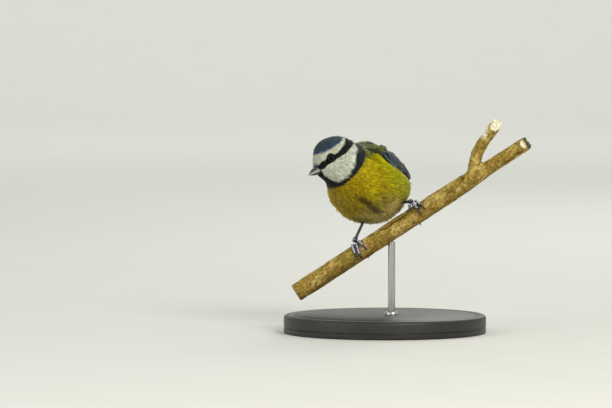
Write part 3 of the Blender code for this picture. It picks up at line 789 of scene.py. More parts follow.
def scattered(mesh, chosen, spacing, count, rng):
    """Places spread evenly over the faces whose middle is chosen, no nearer than their spacing."""
    corners = triangles_of(mesh)
    a, b, c = (points_of(mesh)[corner] for corner in corners.T)
    area = np.linalg.norm(np.cross(b - a, c - a), axis=1) / 2 * chosen((a + b + c) / 3)
    pick = rng.choice(len(area), count, p=area / area.sum())
    u, v = rng.random(count), rng.random(count)
    u, v = np.where(u + v > 1, 1 - u, u), np.where(u + v > 1, 1 - v, v)
    tried = a[pick] + (b - a)[pick] * u[:, None] + (c - a)[pick] * v[:, None]
    normals = normals_of(mesh)[corners[pick]].mean(axis=1)
    apart = spacing(tried)
    cell = float(apart.max())
    keys = np.floor(tried / cell).astype(int)
    taken, kept = {}, []
    near = [(i, j, k) for i in (-1, 0, 1) for j in (-1, 0, 1) for k in (-1, 0, 1)]
    for i in range(count):
        x, y, z = keys[i]
        p, limit = tried[i], apart[i] ** 2
        others = (o for dx, dy, dz in near for o in taken.get((x + dx, y + dy, z + dz), ()))
        if all((p[0] - o[0]) ** 2 + (p[1] - o[1]) ** 2 + (p[2] - o[2]) ** 2 >= limit for o in others):
            taken.setdefault((x, y, z), []).append(p)
            kept.append(i)
    return tried[kept], unit(normals[kept])


def unrolled(x, y, z, starts, length):
    """Shares round and along a body, from where it starts on its own X axis."""
    return np.stack((np.arctan2(y, z) / (2 * math.pi) + 0.5, (x - starts) / length), axis=1)


def bake_place(places):
    """A place on an unwrap of the skin's own shape: the trunk unrolled, and the head above it."""
    t, q = local(places, TRUNK), local(places, HEAD)
    body = unrolled(t[:, 0], t[:, 1], -t[:, 2], -42.0, 72.0) * (0.96, 0.56) + (0.02, 0.02)
    head = unrolled(*q.T, -16.0, 32.0) * (0.96, 0.36) + (0.02, 0.61)
    on_head = np.linalg.norm(q, axis=1) < HEAD_REACH
    return np.clip(np.where(on_head[:, None], head, body), 0.005, 0.995)


# A barb's half width as a share of its place in the feather, and how dark it is from root to tip:
# darker at the root for the feather's greyer base and as painted shade deep in the coat, and a little
# lighter than the plumage's colour at the tip
BARB_WIDTH = ((0, 0.3, 0.75, 1), (0.5, 0.85, 0.72, 0.0))
BARB_SHADE = ((0, 0.35, 0.8, 1), (0.5, 0.74, 1.0, 1.12))
# Half the width and the whole length of a feather's own patch on the bake map, as shares of the map
PATCH = (0.0013, 0.0028)


def tuft_piece(name, roots, normals, flows, sizes, barbs, look, rng, slot, follow=True):
    """Feathers as fans of thin barbs. Each barb is a pointed ribbon that starts at the root, on the skin,
    rises to the coat's outside and lies along it. sizes are the length, width and height of the
    feathers, barbs the count in each and the rings of points along one. look gives each barb's colour
    from its tip's place."""
    count = len(roots)
    ribbons, rings = barbs
    length, width, height = (np.broadcast_to(np.asarray(v, float), count) for v in sizes)
    middle = roots + flows * (length * 0.5)[:, None]
    end = roots + flows * length[:, None]
    normal_middle = normal_end = normals
    if follow:
        middle, normal_middle = onto_skin(middle)
        end, normal_end = onto_skin(end)
    width, height = width[:, None, None], height[:, None, None]
    q = np.linspace(-1, 1, ribbons)
    s = np.asarray(rings, float)
    each_barb = (count, ribbons, 1)
    along = ((1 - 0.26 * q**2) * rng.uniform(0.82, 1.12, (count, ribbons)))[:, :, None] * s

    def bent(at_root, at_middle, at_end):
        """A parabola through what a tuft has at its root, its middle and its end."""
        shares = (2 * (along - 0.5) * (along - 1), 4 * along * (1 - along), 2 * along * (along - 0.5))
        values = (at_root, at_middle, at_end)
        return sum(share[..., None] * value[:, None, None] for share, value in zip(shares, values))

    line = bent(roots, middle, end)
    stand = unit(bent(normals, normal_middle, normal_end))
    sideways = unit(np.cross(normals, flows))[:, None, None]
    spread = width / 2 * q[None, :, None] * along**0.75 + rng.normal(0, 0.05, each_barb) * width * along
    rise = height * (1 - np.clip(1 - along, 0, 1) ** 2.2) + rng.normal(0, 0.035, each_barb) * along
    tilt = rng.normal(0, 0.06, (count, 1, 1)) * height * along
    loose = (rng.random(each_barb) < 0.10) * rng.uniform(0.1, 0.45, each_barb)
    rise = rise + loose * height * along**2 + tilt - 0.09 * np.abs(q)[None, :, None] * width * along
    line = line + sideways * spread[..., None] + stand * rise[..., None]
    half = width / ribbons * np.interp(s, *BARB_WIDTH)
    wide = (sideways * half[..., None])[:, :, :-1]
    pairs = np.stack((line[:, :, :-1] - wide, line[:, :, :-1] + wide), axis=3)
    points = np.concatenate((pairs.reshape(count, ribbons, -1, 3), line[:, :, -1:]), axis=2)
    each = points.shape[2]
    cells = len(rings) - 2
    corners = [c for k in range(cells) for c in (2 * k + 1, 2 * k, 2 * k + 2, 2 * k + 3)]
    corners += [2 * cells + 1, 2 * cells, 2 * cells + 2]
    loops = (np.arange(count * ribbons)[:, None] * each + corners).ravel()
    mesh = mesh_from(name, points.reshape(-1, 3), loops, np.tile([4] * cells + [3], count * ribbons))
    ring_of = np.repeat(np.arange(len(rings)), 2)[:-1]
    tips = (line[:, :, -1] * 0.7 + line[:, :, -2] * 0.3).reshape(-1, 3)
    tips = tips + rng.normal(0, 0.12, tips.shape)
    colour = look(tips).reshape(count, ribbons, 1, 3)
    colour = colour * rng.uniform(0.72, 1.26, (count, 1, 1, 1))
    colour = colour * rng.uniform(0.74, 1.2, (count, ribbons, 1, 1))
    shade = np.interp(s, *BARB_SHADE)[ring_of]
    paint(mesh, np.clip(colour * shade[:, None], 0, 1).reshape(-1, 3))
    lean = 0.3 * q[None, :] + rng.normal(0, 0.16, (count, 1)) + rng.normal(0, 0.2, (count, ribbons))
    slope = unit(stand[:, :, ring_of] + sideways * lean[..., None, None])
    mesh.normals_split_custom_set_from_vertices(slope.reshape(-1, 3).astype(np.float32))
    patch = np.stack(np.broadcast_arrays(q[:, None], s[ring_of] - 0.5), axis=-1) * PATCH
    add_uv(mesh, "OFBake", (bake_place(roots)[:, None, None] + patch).reshape(-1, 2))
    return piece(name, mesh, FEATHER, slot)


def bare(places):
    """Places where no feather is rooted: eyes, bill, under the wings and where the bare legs are."""
    q = local(places, HEAD)
    x, side, z = q[:, 0], np.abs(q[:, 1]), q[:, 2]
    found = inside_wing(local(places, TRUNK)) > 1.2
    for mirror in ((1, 1, 1), (1, -1, 1)):
        along, off = from_line(q, EYE_CENTRE * mirror, EYE_AXIS * mirror)
        found |= (off < EYE_OPENING + 0.08) & (along > 0)
    found |= (x > 8.6) & (side < np.interp(x, (8.0, 10.2), (1.2, 1.7))) & (z < -1.2) & (z > -4.8)
    for foot in FEET:
        begins, knob = leg_ends(foot)
        along, off = from_line(places, begins, unit(knob - begins))
        found |= (off < 0.9) & (np.abs(along) < 3.0)
    return found


def feather_length(places):
    """Feathers are smallest round the bill and the eyes, and longest on flanks and belly."""
    from_bill = np.linalg.norm(places - BILL_BASE, axis=1)
    long = np.interp(from_bill, (0, 2, 5, 10, 15, 21, 30), (0.7, 0.9, 1.3, 1.9, 2.6, 4.2, 5.6))
    return long * np.interp(from_eye(local(places, HEAD)), (1.6, 4.5), (0.45, 1.0))


def apart(places):
    """How far apart feathers are rooted: closest where they are smallest."""
    return np.clip(feather_length(places) / 7.0, 0.19, 0.70)


# Barbs in a feather, and the rings of points along a barb
FINE = (5, (0.0, 0.5, 1.0))
MIDDLING = (7, (0.0, 0.4, 0.75, 1.0))
FULL = (9, (0.0, 0.4, 0.75, 1.0))
# Each piece of the coat: how far from the bill it begins and ends, how many places are tried for its
# feathers, their barbs, and the record's slot
ZONES = {
    "coat_head": (0.0, 15.0, 130000, FINE, "head_feathers"),
    "coat_neck": (15.0, 23.0, 60000, MIDDLING, "neck_feathers"),
    "coat_breast": (23.0, 40.0, 60000, FULL, "body_feathers"),
    "coat_body": (40.0, 200.0, 60000, FULL, "body_feathers"),
}
rng = np.random.default_rng(7)
for name, (nearest, furthest, tries, barbs, slot) in ZONES.items():

    def chosen(middles, nearest=nearest, furthest=furthest):
        away = np.linalg.norm(middles - BILL_BASE, axis=1)
        return (away >= nearest) & (away < furthest) & ~bare(middles)

    roots, normals = scattered(flesh, chosen, apart, tries, rng)
    flows = lie_of_coat(roots, normals)
    long = feather_length(roots)
    wide = np.clip(long * 0.43, 0.36, 2.2)
    high = np.minimum(coat_depth(roots), coat_depth(roots + flows * long[:, None]))
    tuft_piece(name, roots, normals, flows, (long, wide, high), barbs, markings, rng, slot)

# ---------------------------------------------------------------- wings and tail

VANE_ROWS = np.array((0.0, 0.15, 0.35, 0.55, 0.70, 0.80, 0.87, 0.92, 0.96, 0.985, 1.0))
VANE_COLUMNS = np.array((-1.0, -0.78, -0.4, 0.0, 0.4, 0.78, 1.0))
VANE_THICKNESS = 0.16
VANE_BOW = 0.2
SHAFT_HEIGHT = 0.06
TIP_BEND = 0.12
# Millimetres along a wing or the tail for one whole share, near enough for the pattern of the barbs
ABOUT_WHOLE = 60.0
PRIMARY = linear("#191914")
PRIMARY_EDGE = linear("#58717A")
COVERT = linear("#1B3038")
COVERT_EDGE = linear("#5F8793")
COVERT_TIP = linear("#C4C8AE")
PRIMARY_COVERT = linear("#16222A")
TERTIAL = linear("#293438")
TERTIAL_EDGE = linear("#7C8868")
TAIL_BLUE = linear("#2C4257")
TAIL_EDGE = linear("#4A7093")
TAIL_WHITE = linear("#CDD2CC")


def wing_place(share, across, lift, left):
    """Places on a wing in the trunk's frame, mirrored to the left, this far out from its middle surface."""
    upper, lower, half_width, rise, middle = wing_station(share, left)
    angle = np.radians(upper + (lower - upper) * across)
    along = WING_BEND_X - WING_LENGTH * share + 0 * angle
    place = np.stack((along, half_width * np.sin(angle), middle + rise * np.cos(angle)), axis=-1)
    out = unit(np.stack((0 * angle, np.sin(angle) / half_width, np.cos(angle) / rise), axis=-1))
    return place + out * np.asarray(lift)[..., None]


def wing_arc(share, left):
    """Millimetres across the wing for one whole share of its width."""
    upper, lower, half_width, rise = wing_station(share, left)[:4]
    return np.radians(lower - upper) * (half_width + rise) / 2


def tail_place(share, across, lift):
    """Places on the tail in its frame. across is in millimetres from its middle line."""
    half_width, rise = looked_up(TAIL_STATIONS, share)
    bow = rise * (1 - np.clip(across / half_width, -1.2, 1.2) ** 2)
    return np.stack((-TAIL_LENGTH * share + 0 * across, across, bow + lift), axis=-1)


def vane(surface, arc, root, tip, half_width, lift, outer, colours, tip_from, round_from):
    """One feather: a thin closed vane with a raised shaft, from its root to its tip on a surface.
    outer is the narrow outer half's share of the width. colours are the middle's, the edge's and the
    tip's. The result holds its points, faces, colours and its place across and along, in mm."""
    v, c = VANE_ROWS[:, None], VANE_COLUMNS[None]
    share = root[0] + (tip[0] - root[0]) * v + 0 * c
    across = root[1] + (tip[1] - root[1]) * v
    profile = np.interp(v, (0, 0.12, 0.35), (0.4, 0.75, 1.0))
    profile = profile * np.sqrt(1 - 0.97 * np.clip((v - round_from) / (1 - round_from), 0, 1) ** 2)
    narrow = np.where(c > 0, outer, 1.0)
    offset = c * profile * half_width * narrow
    bowed = lift + (1 - c**2) * VANE_BOW
    place = across + offset / arc(share)
    top = surface(share, place, bowed + (c == 0) * SHAFT_HEIGHT - TIP_BEND * (v > 0.97))
    low = surface(share, place, bowed - VANE_THICKNESS)
    size = share.shape
    index = np.arange(share.size).reshape(size)
    under = index.copy()
    under[1:-1, 1:-1] = np.arange((size[0] - 2) * (size[1] - 2)).reshape(size[0] - 2, -1) + share.size
    quads = []
    for grid in (index, under[:, ::-1]):
        around = (grid[:-1, :-1], grid[:-1, 1:], grid[1:, 1:], grid[1:, :-1])
        quads.append(np.stack(around, axis=-1).reshape(-1, 4))
    middle, edge, end = colours
    colour = layered(
        middle,
        (edge, step(0.45, 0.9, c) + (c < -0.9) * 0.5 + 0 * v),
        (middle * 0.55, (c == 0) * 0.7 + 0 * v),
        (end, step(tip_from, tip_from + 0.08, v + 0.05 * c**2)),
    )
    flat = np.stack((offset, (v + 0 * c) * abs(tip[0] - root[0]) * ABOUT_WHOLE), axis=-1)

    def both_faces(upper, lower):
        return np.concatenate((upper.reshape(share.size, -1), lower[1:-1, 1:-1].reshape(-1, upper.shape[-1])))

    # The underside takes the top's colours at 0.8 of their brightness, as painted shade
    colour = both_faces(colour, colour * 0.8)
    return both_faces(top, low), np.concatenate(quads), colour, both_faces(flat, flat)


def vane_piece(name, vanes, to_world, slot, *nodes):
    """Many feathers as one piece, each with its own cell of the bake map."""
    points, faces, colours, flats = zip(*vanes)
    columns = math.ceil(math.sqrt(len(vanes) * 3))
    rows = math.ceil(len(vanes) / columns)
    cells = []
    for i, flat in enumerate(flats):
        low, high = flat.min(axis=0), flat.max(axis=0)
        inside = (flat - low) / (high - low)
        cells.append((inside * 0.9 + 0.05 + (i % columns, i // columns)) / (columns, rows))
    quads = np.concatenate([quads + i * len(points[0]) for i, quads in enumerate(faces)])
    mesh = mesh_from(name, to_world(np.concatenate(points)), quads.ravel(), np.full(len(quads), 4))
    paint(mesh, np.clip(np.concatenate(colours), 0, 1))
    add_uv(mesh, "OFBake", np.concatenate(cells))
    add_uv(mesh, "vane", np.concatenate(flats))
    outward(mesh, merged=False)
    return piece(name, mesh, VANE, slot, *nodes)


# The layers of a folded wing, from the lowest to the uppermost: how many feathers; from the first to the
# last, the shares along and across the wing of their roots, then of their tips; half width; how far out
# the first lies and how much lower each next one; the outer half's share of the width; the colours of
# middle, edge and tip; where along it the tip's colour and its rounding begin; whether they end unevenly
PRIMARY_TIPS = (0.80, 0.85, 0.895, 0.935, 0.97, 1.0, 0.985, 0.94)
SECONDARY_TIPS = (0.60, 0.65, 0.69, 0.72, 0.745, 0.765, 0.78)
PRIMARIES = (PRIMARY, PRIMARY_EDGE, PRIMARY)
SECONDARIES = (PRIMARY, COVERT_EDGE, PRIMARY_EDGE)
TERTIALS = (TERTIAL, TERTIAL_EDGE, TERTIAL_EDGE)
PRIMARY_COVERTS = (PRIMARY_COVERT, COVERT, PRIMARY_COVERT)
ALULA = (PRIMARY_COVERT, TERTIAL_EDGE, PRIMARY_COVERT)
TIPPED = (COVERT, COVERT_EDGE, COVERT_TIP)
UNTIPPED = (COVERT, COVERT_EDGE, COVERT_EDGE)
UNEVEN_TIPS = 0.010
WING_LAYERS = (
    (8, (0.34,), (0.5, 0.92), PRIMARY_TIPS, (0.3, 0.78), 2.0, -0.02, 0.06, 0.42, PRIMARIES, 0.86, 0.8, 0),
    (7, (0.26,), (0.2, 0.6), SECONDARY_TIPS, (0.08, 0.48), 2.1, 0.34, 0.05, 0.5, SECONDARIES, 0.95, 0.85, 0),
    (3, (0.22,), (0.05, 0.17), (0.44, 0.6), (0.04, 0.13), 1.9, 0.52, 0.07, 0.7, TERTIALS, 0.94, 0.8, 0),
    (7, (0.13,), (0.7, 0.9), (0.36, 0.39), (0.6, 0.88), 1.2, 0.36, 0.04, 0.5, PRIMARY_COVERTS, 0.86, 0.85, 0),
    (3, (0.05,), (0.84, 0.94), (0.2, 0.27), (0.88, 0.98), 1.2, 0.5, 0.05, 0.5, ALULA, 0.86, 0.85, 0),
    (12, (0.13,), (0.05, 0.75), (0.3, 0.27), (0.03, 0.77), 1.3, 0.6, 0.03, 0.8, TIPPED, 0.86, 0.8, 1),
    (11, (0.08,), (0.05, 0.81), (0.19, 0.16), (0.03, 0.83), 1.35, 0.72, 0.03, 0.8, UNTIPPED, 0.9, 0.8, 1),
    (10, (0.02,), (0.08, 0.88), (0.115, 0.085), (0.06, 0.9), 1.25, 0.84, 0.03, 0.8, UNTIPPED, 0.9, 0.8, 1),
    (5, (-0.02, 0.03), (0.74, 0.86), (0.045, 0.1), (0.84, 0.96), 0.9, 0.62, 0.02, 0.8, TIPPED, 0.78, 0.7, 0),
)


def wing_feathers(left, rng):
    """The folded wing's feathers: primaries, secondaries, tertials, primary coverts, alula, three rows
    of coverts, the lowest with white tips, and a few pale-tipped ones along the wing's edge."""
    place = partial(wing_place, left=left)
    arc = partial(wing_arc, left=left)
    made = []
    for count, *spans, half_width, lift, drop, outer, colours, tip_from, round_from, uneven in WING_LAYERS:
        for i in range(count):
            ends = [np.interp(i / (count - 1), np.linspace(0, 1, len(span)), span) for span in spans]
            if uneven:
                ends[2] += UNEVEN_TIPS * rng.uniform(-1, 1)
            bright = rng.uniform(0.82, 1.2)
            tinted = [c * bright for c in colours]
            look = (half_width, lift - drop * i, outer, tinted, tip_from, round_from)
            made.append(vane(place, arc, ends[:2], ends[2:], *look))
    return made


def small_coverts(places):
    """Lesser coverts: dull blue, greener towards the mantle."""
    across = wing_share(local(places, TRUNK))[1]
    blue = blend(WING_BLUE, WING_TEAL, 0.5 + 0.5 * mottle(places, 3.0, 11))
    return blend(blue, MANTLE, step(0.08, -0.04, across))


# Small feathers at the wing's front and top: how many; the shares along and across the wing between
# which they are rooted; how far out they lie, and how much further over the wing than on the back;
# length, width and height; colours; the record's slot
SCAPULARS_FROM = -0.45
COVERS = {
    "lesser_coverts": (
        (1100, (-0.06, 0.06), (0.0, 0.95), 0.35, 0.0),
        ((2.4, 1.4, 0.6), small_coverts, "wing_feathers"),
    ),
    "scapulars": (
        (1500, (-0.03, 0.40), (SCAPULARS_FROM, 0.04), 0.0, 0.55),
        ((4.2, 1.7, 0.6), markings, "body_feathers"),
    ),
}
for side, sign in (("left", 1), ("right", -1)):
    mirror = np.array((1.0, sign, 1.0))
    feathers = wing_feathers(sign > 0, np.random.default_rng(21))

    def folded(places, mirror=mirror):
        return world(places * mirror, TRUNK)

    vane_piece(f"wing_feathers_{side}", feathers, folded, "wing_feathers", f"wing_{side}")
    rng = np.random.default_rng(31)
    for name, ((count, shares, acrosses, lift, rise), (sizes, look, slot)) in COVERS.items():
        share = rng.uniform(*shares, count)
        across = rng.uniform(*acrosses, count)
        low = lift + rise * step(SCAPULARS_FROM, 0.0, across)
        roots = folded(wing_place(share, across, low, sign > 0))
        out = unit(folded(wing_place(share, across, low + 1.0, sign > 0)) - roots)
        flows = unit(-TRUNK[1][0] - out * (out @ -TRUNK[1][0])[:, None])
        name = f"{name}_{side}"
        tuft_piece(name, roots, out, flows, sizes, MIDDLING, look, rng, slot, follow=False)


def tail_feathers():
    """Twelve tail feathers, the middle pair on top, with white outer edges on the outermost."""
    made = []
    for i in range(6):
        outer = i / 5
        root = (0.0, 0.3 + 1.9 * outer)
        tip = (1.0 - 0.034 * (1 - outer), 1.3 + 3.3 * outer)
        blue = TAIL_BLUE * (1.0, 0.82, 1.1, 0.86, 1.0, 0.75)[i]
        colours = (blue, TAIL_WHITE if i == 5 else TAIL_EDGE, TAIL_BLUE)
        look = (2.3, 0.55 - 0.10 * i, 0.62, colours, 0.97, 0.94)
        points, *rest = vane(tail_place, np.ones_like, root, tip, *look)
        made.append((points + (0, 0, 0.04), *rest))
        made.append((points * (1, -1, 1), *rest))
    return made


vane_piece("tail_feathers", tail_feathers(), partial(world, part=TAIL), "tail_feathers", "tail")

# ---------------------------------------------------------------- eyes and bill

def ring_mesh(name, rings, closed_ends=True):
    """A tube mesh through rings of points in millimetres, with an end point at each end."""
    rings = np.asarray(rings)
    count, sides = rings.shape[:2]
    index = np.arange(count * sides).reshape(count, sides)
    after = np.roll(index, -1, axis=1)
    quads = np.stack((index[:-1], after[:-1], after[1:], index[1:]), axis=-1).ravel()
    loops, sizes = [quads], [np.full(len(quads) // 4, 4)]
    points = rings.reshape(-1, 3)
    if closed_ends:
        points = np.concatenate((points, rings[0].mean(axis=0)[None], rings[-1].mean(axis=0)[None]))
        low, high = count * sides, count * sides + 1
        loops.append(np.stack((after[0], index[0], np.full(sides, low)), axis=-1).ravel())
        loops.append(np.stack((index[-1], after[-1], np.full(sides, high)), axis=-1).ravel())
        sizes.append(np.full(2 * sides, 3))
    mesh = mesh_from(name, points, np.concatenate(loops), np.concatenate(sizes))
    outward(mesh)
    mesh.shade_smooth()
    return mesh


IRIS = linear("#0E0805")
PUPIL = linear("#030202")
LID = linear("#0A0A0A")
# Degrees from the eye's axis where the pupil turns into the iris, and the iris into its dark rim
PUPIL_ENDS = (21, 25)
IRIS_ENDS = (36, 44)

for side, sign in (("left", 1), ("right", -1)):
    flip = np.array((1.0, sign, 1.0))
    axis = EYE_AXIS * flip
    across = unit(np.cross(axis, (0.0, 0.0, 1.0)))
    upward = np.cross(across, axis)
    centre = EYE_CENTRE * flip + axis * EYE_OUT
    turn = angles_round(40)[:, None]
    rings = []
    for polar in np.linspace(0.03, math.pi - 0.03, 30):
        bulge = 1.0 + 0.012 * math.exp(-((polar / 0.45) ** 2))
        around = (across * np.cos(turn) + upward * np.sin(turn)) * math.sin(polar)
        rings.append(world(centre + (axis * math.cos(polar) * bulge + around) * EYE_RADIUS, HEAD))
    mesh = ring_mesh(f"eyeball_{side}", rings)
    off = np.degrees(np.arccos(np.clip(unit(local(points_of(mesh), HEAD) - centre) @ axis, -1, 1)))
    paint(mesh, blend(PUPIL, IRIS, window(*PUPIL_ENDS, *IRIS_ENDS, off)))
    piece(f"eyeball_{side}", mesh, EYE_GLASS, "eye", f"eye_{side}")

    depth = math.sqrt(EYE_RADIUS**2 - EYE_OPENING**2)
    section = angles_round(10)[:, None]
    rings = []
    for turn in angles_round(48):
        out = across * math.cos(turn) + upward * math.sin(turn)
        almond = 0.12 * math.cos(turn) ** 2
        centre_line = centre + axis * (depth - 0.02) + out * (EYE_OPENING + 0.10 + almond)
        thick = 0.12 + almond * 0.6 + 0.015 * math.sin(turn * 17)
        rings.append(world(centre_line + (out * np.cos(section) + axis * np.sin(section)) * thick, HEAD))
    rings.append(rings[0])
    mesh = ring_mesh(f"lid_{side}", rings, closed_ends=False)
    paint(mesh, LID)
    piece(f"lid_{side}", mesh, LID_SKIN, "foot_scales")

# How far forward in the head's frame; the heights of the ridge, of the line where the halves meet and
# of the lower edge; half width
BILL_STATIONS = np.array((
    (8.4, -0.7, -3.00, -5.0, 2.05),
    (10.0, -1.0, -3.10, -4.9, 1.85),
    (11.3, -1.35, -3.20, -4.75, 1.5),
    (12.5, -1.9, -3.32, -4.5, 1.1),
    (13.5, -2.6, -3.45, -4.2, 0.72),
    (14.3, -3.25, -3.55, -3.95, 0.4),
    (14.7, -3.5, -3.62, -3.8, 0.2),
))
LOWER_BILL_ENDS = 14.35
LIP_ENDS = 13.6
BILL_DARK = linear("#2E3238")
BILL_EDGE = linear("#CFC6B4")
BILL_TIP = linear("#6B5A4B")


def bill_half(upper):
    """One half of the closed bill: a rounded ridge, and a pale cutting edge that stands out slightly."""
    begins, *_, stops = BILL_STATIONS[:, 0]
    if not upper:
        stops = LOWER_BILL_ENDS
    angle = np.linspace(0, math.pi, 15)
    flat = angle[1:-1:3]
    rings = []
    for x in begins + (stops - begins) * np.linspace(0, 1, 22):
        culmen, meets, below, half_width = looked_up(BILL_STATIONS, x)
        edge = meets + (0.05 if upper else -0.05)
        reach = (culmen if upper else below) - edge
        lip = 1.0 + 0.05 * np.exp(-((np.sin(angle) / 0.25) ** 2)) * (x < LIP_ENDS)
        across = half_width * np.cos(angle) * lip
        arc = np.stack((x + 0 * angle, across, edge + reach * np.sin(angle) ** 0.85), axis=-1)
        across = half_width * np.cos(flat)[::-1] * 0.9
        floor = np.stack((x + 0 * flat, across, edge + 0 * flat), axis=-1)
        rings.append(world(np.concatenate((arc, floor)), HEAD))
    name = "bill_top" if upper else "bill_bottom"
    mesh = ring_mesh(name, rings)
    q = local(points_of(mesh), HEAD)
    away = np.abs(q[:, 2] - looked_up(BILL_STATIONS, q[:, 0])[1])
    dark_end = step(13.2, 14.6, q[:, 0]) * 0.7
    paint(mesh, layered(BILL_EDGE, (BILL_DARK, step(0.08, 0.5, away)), (BILL_TIP, dark_end)))
    piece(name, mesh, BILL_HORN, "bill_horn", "bill_upper" if upper else "bill_lower")


bill_half(True)
bill_half(False)

# ---------------------------------------------------------------- feet

# The slate blue of the scales, a pale colour that is a painted highlight, and darker tones
FOOT_BLUE = linear("#2A2F3A")
PAINTED_FOOT_HIGHLIGHT = linear("#C2C3D6")
FOOT_DARK = linear("#22262E")
CLAW_DARK = linear("#0D0B0A")
CLAW_PALE = linear("#2A2420")


def tube_mesh(name, path, radii, sides):
    """A closed tube along a path of points, with its radius at each point."""
    along = unit(np.gradient(path, axis=0))
    across = unit(np.cross(along, (0.0, 1.0, 0.0)))
    other = np.cross(along, across)
    turn = angles_round(sides)[:, None]
    circles = across[:, None] * np.cos(turn) + other[:, None] * np.sin(turn)
    return ring_mesh(name, path[:, None] + circles * radii[:, None, None])


def saw(values):
    """A rising ramp that falls back at each whole number, as scales that overlap do."""
    return values - np.floor(values)


# How far the bare leg goes on inside the feathers, and the knob's radius
LEG_INSIDE = 2.5
KNOB_RADIUS = 1.12

for side, (stands, _, lift, *_) in FEET.items():
    begins, knob = leg_ends(side)
    above = begins - unit(knob - begins) * LEG_INSIDE
    t = np.linspace(0, 1, 90)
    radius = 0.60 + 0.5 * np.clip((t - 0.80) / 0.16, 0, 1) + 0.09 * saw(t * 9)
    skin, claws = bmesh.new(), bmesh.new()
    skin.from_mesh(tube_mesh("tarsus", above + (knob - above) * t[:, None], radius, 20))
    for number, (start, end, starts_at, ends_at, claw_shift, claw_at) in enumerate(TOES[side]):
        t = np.linspace(0, 1, 64)
        radius = 0.64 * (1.0 - 0.18 * t) + 0.06 * np.cos(6 * math.pi * t) + 0.075 * saw(t * 10)
        radius[-3:] *= (0.95, 0.8, 0.5)
        up = lift * (1 - np.minimum(t * 2.2, 1)) ** 2 + 0.02
        path = on_branch(
            stands + start + (end - start) * t,
            starts_at + (ends_at - starts_at) * t,
            BRANCH_RADIUS + 0.12 + 0.62 + up,
        )
        skin.from_mesh(tube_mesh("toe", path, radius, 18))

        t = np.linspace(0, 1, 22)
        radius = 0.50 * (1 - t) ** 0.65 + 0.05
        radius[0] *= 0.7
        arch = 0.66 * np.sin(math.pi * np.minimum(t * 1.1, 1)) + 0.25 * (1 - t) + (number == 0) * 0.5 * t**2
        begin_at = ends_at - 4 * math.copysign(1, ends_at)
        claw_at += 6 * math.copysign(1, claw_at)
        path = on_branch(
            stands + end + (claw_shift - end) * t,
            begin_at + (claw_at - begin_at) * t,
            BRANCH_RADIUS + 0.1 + radius + arch,
        )
        claws.from_mesh(tube_mesh("claw", path, radius, 14))
    middle = Matrix.Translation(Vector(knob * MM))
    bmesh.ops.create_icosphere(skin, subdivisions=3, radius=KNOB_RADIUS * MM, matrix=middle)
    foot = remeshed(mesh_of(skin, "foot"), 0.13, 0.0, 1)
    places = points_of(foot)
    away = places - BRANCH_MIDDLE
    from_axis = away - (away @ BRANCH_AXIS)[:, None] * BRANCH_AXIS
    over_bark = np.linalg.norm(from_axis, axis=1) - BRANCH_RADIUS
    outside = np.sum(unit(from_axis) * normals_of(foot), axis=1)
    colour = layered(
        FOOT_BLUE,
        # painted highlight where the toes and the leg face away from the branch
        (PAINTED_FOOT_HIGHLIGHT, step(0.5, 0.98, outside) * np.clip(0.7 + 0.6 * mottle(places, 1.0, 5), 0, 1)),
        (FOOT_DARK, step(2.2, 4.0, over_bark) * 0.75),
        (FOOT_DARK, step(0.15, 0.7, mottle(places, 0.8, 6)) * 0.5),
    )
    paint(foot, np.clip(colour, 0, 1))
    toes = [f"toe_{side}_{k}" for k in range(1, 5)]
    piece(f"foot_{side}", foot, FOOT_SKIN, "foot_scales", f"leg_{side}", *toes)

    claws = mesh_of(claws, "claws")
    claws.shade_smooth()
    colour = blend(CLAW_DARK, CLAW_PALE, 0.35 + 0.35 * mottle(points_of(claws), 1.0, 9))
    paint(claws, np.clip(colour, 0, 1))
    piece(f"claws_{side}", claws, CLAW_HORN, "claw_horn", *[f"claw_{side}_{k}" for k in range(1, 5)])

# ---------------------------------------------------------------- branch

BARK_MAIN = linear("#957B36")
BARK_LIGHT = linear("#BEA65C")
BARK_OLIVE = linear("#877A2C")
BARK_BROWN = linear("#6E5318")
BARK_CRACK = linear("#241A0C")
BARE_WOOD = linear("#D9D3B4")
RUBBED_WOOD = linear("#D3A98A")
CUT_WOOD = linear("#E3DCC0")
SHOOT_CUT = np.array((49.7, -2.7, 93.2))
SHOOT_CUT_FACES = unit(unit(np.array((8.3, -2.1, 11.0))) + (0.0, -1.0, 0.0))
KNOT_SCAR = np.array((34.4, -2.6, 68.6))
BARK_SWELL = 0.16
MM_PER_DEGREE = BRANCH_RADIUS / 57.3
# Cracks: where they begin and end along the branch, how many degrees round it they lie, half width
CRACKS = ((-16, -1, 42, 0.55), (-2, 6, 30, 0.4), (42, 57, 128, 0.5), (8, 30, 200, 0.5))

stick = remeshed(joined(("branch", "side_shoot"), "stick"), 0.5, BARK_SWELL, 4)
places, normals = points_of(stick), normals_of(stick)
along = (places - BRANCH_MIDDLE) @ BRANCH_AXIS
over = (places - BRANCH_MIDDLE) @ BRANCH_TOP
turn = np.degrees(np.arctan2(-places[:, 1], over))
off_axis = np.hypot(places[:, 1], over)
on_shoot = off_axis > 5.6


def drawn_out(share):
    """Places with their way along the branch shortened, so that patterns run along the grain."""
    return np.stack((along * share, over, places[:, 1]), axis=1)


def gash(begins, ends, at_turn, width):
    """A long crack in the bark, as a share from 0 to 1."""
    wander = 4.0 * np.sin(along * 0.9) + 3.0 * np.sin(along * 2.3)
    aside = np.abs((turn - at_turn - wander + 180) % 360 - 180) * MM_PER_DEGREE
    length = window(begins - 2, begins + 2, ends - 2, ends + 2, along)
    return step(width, width * 0.3, aside) * length * ~on_shoot


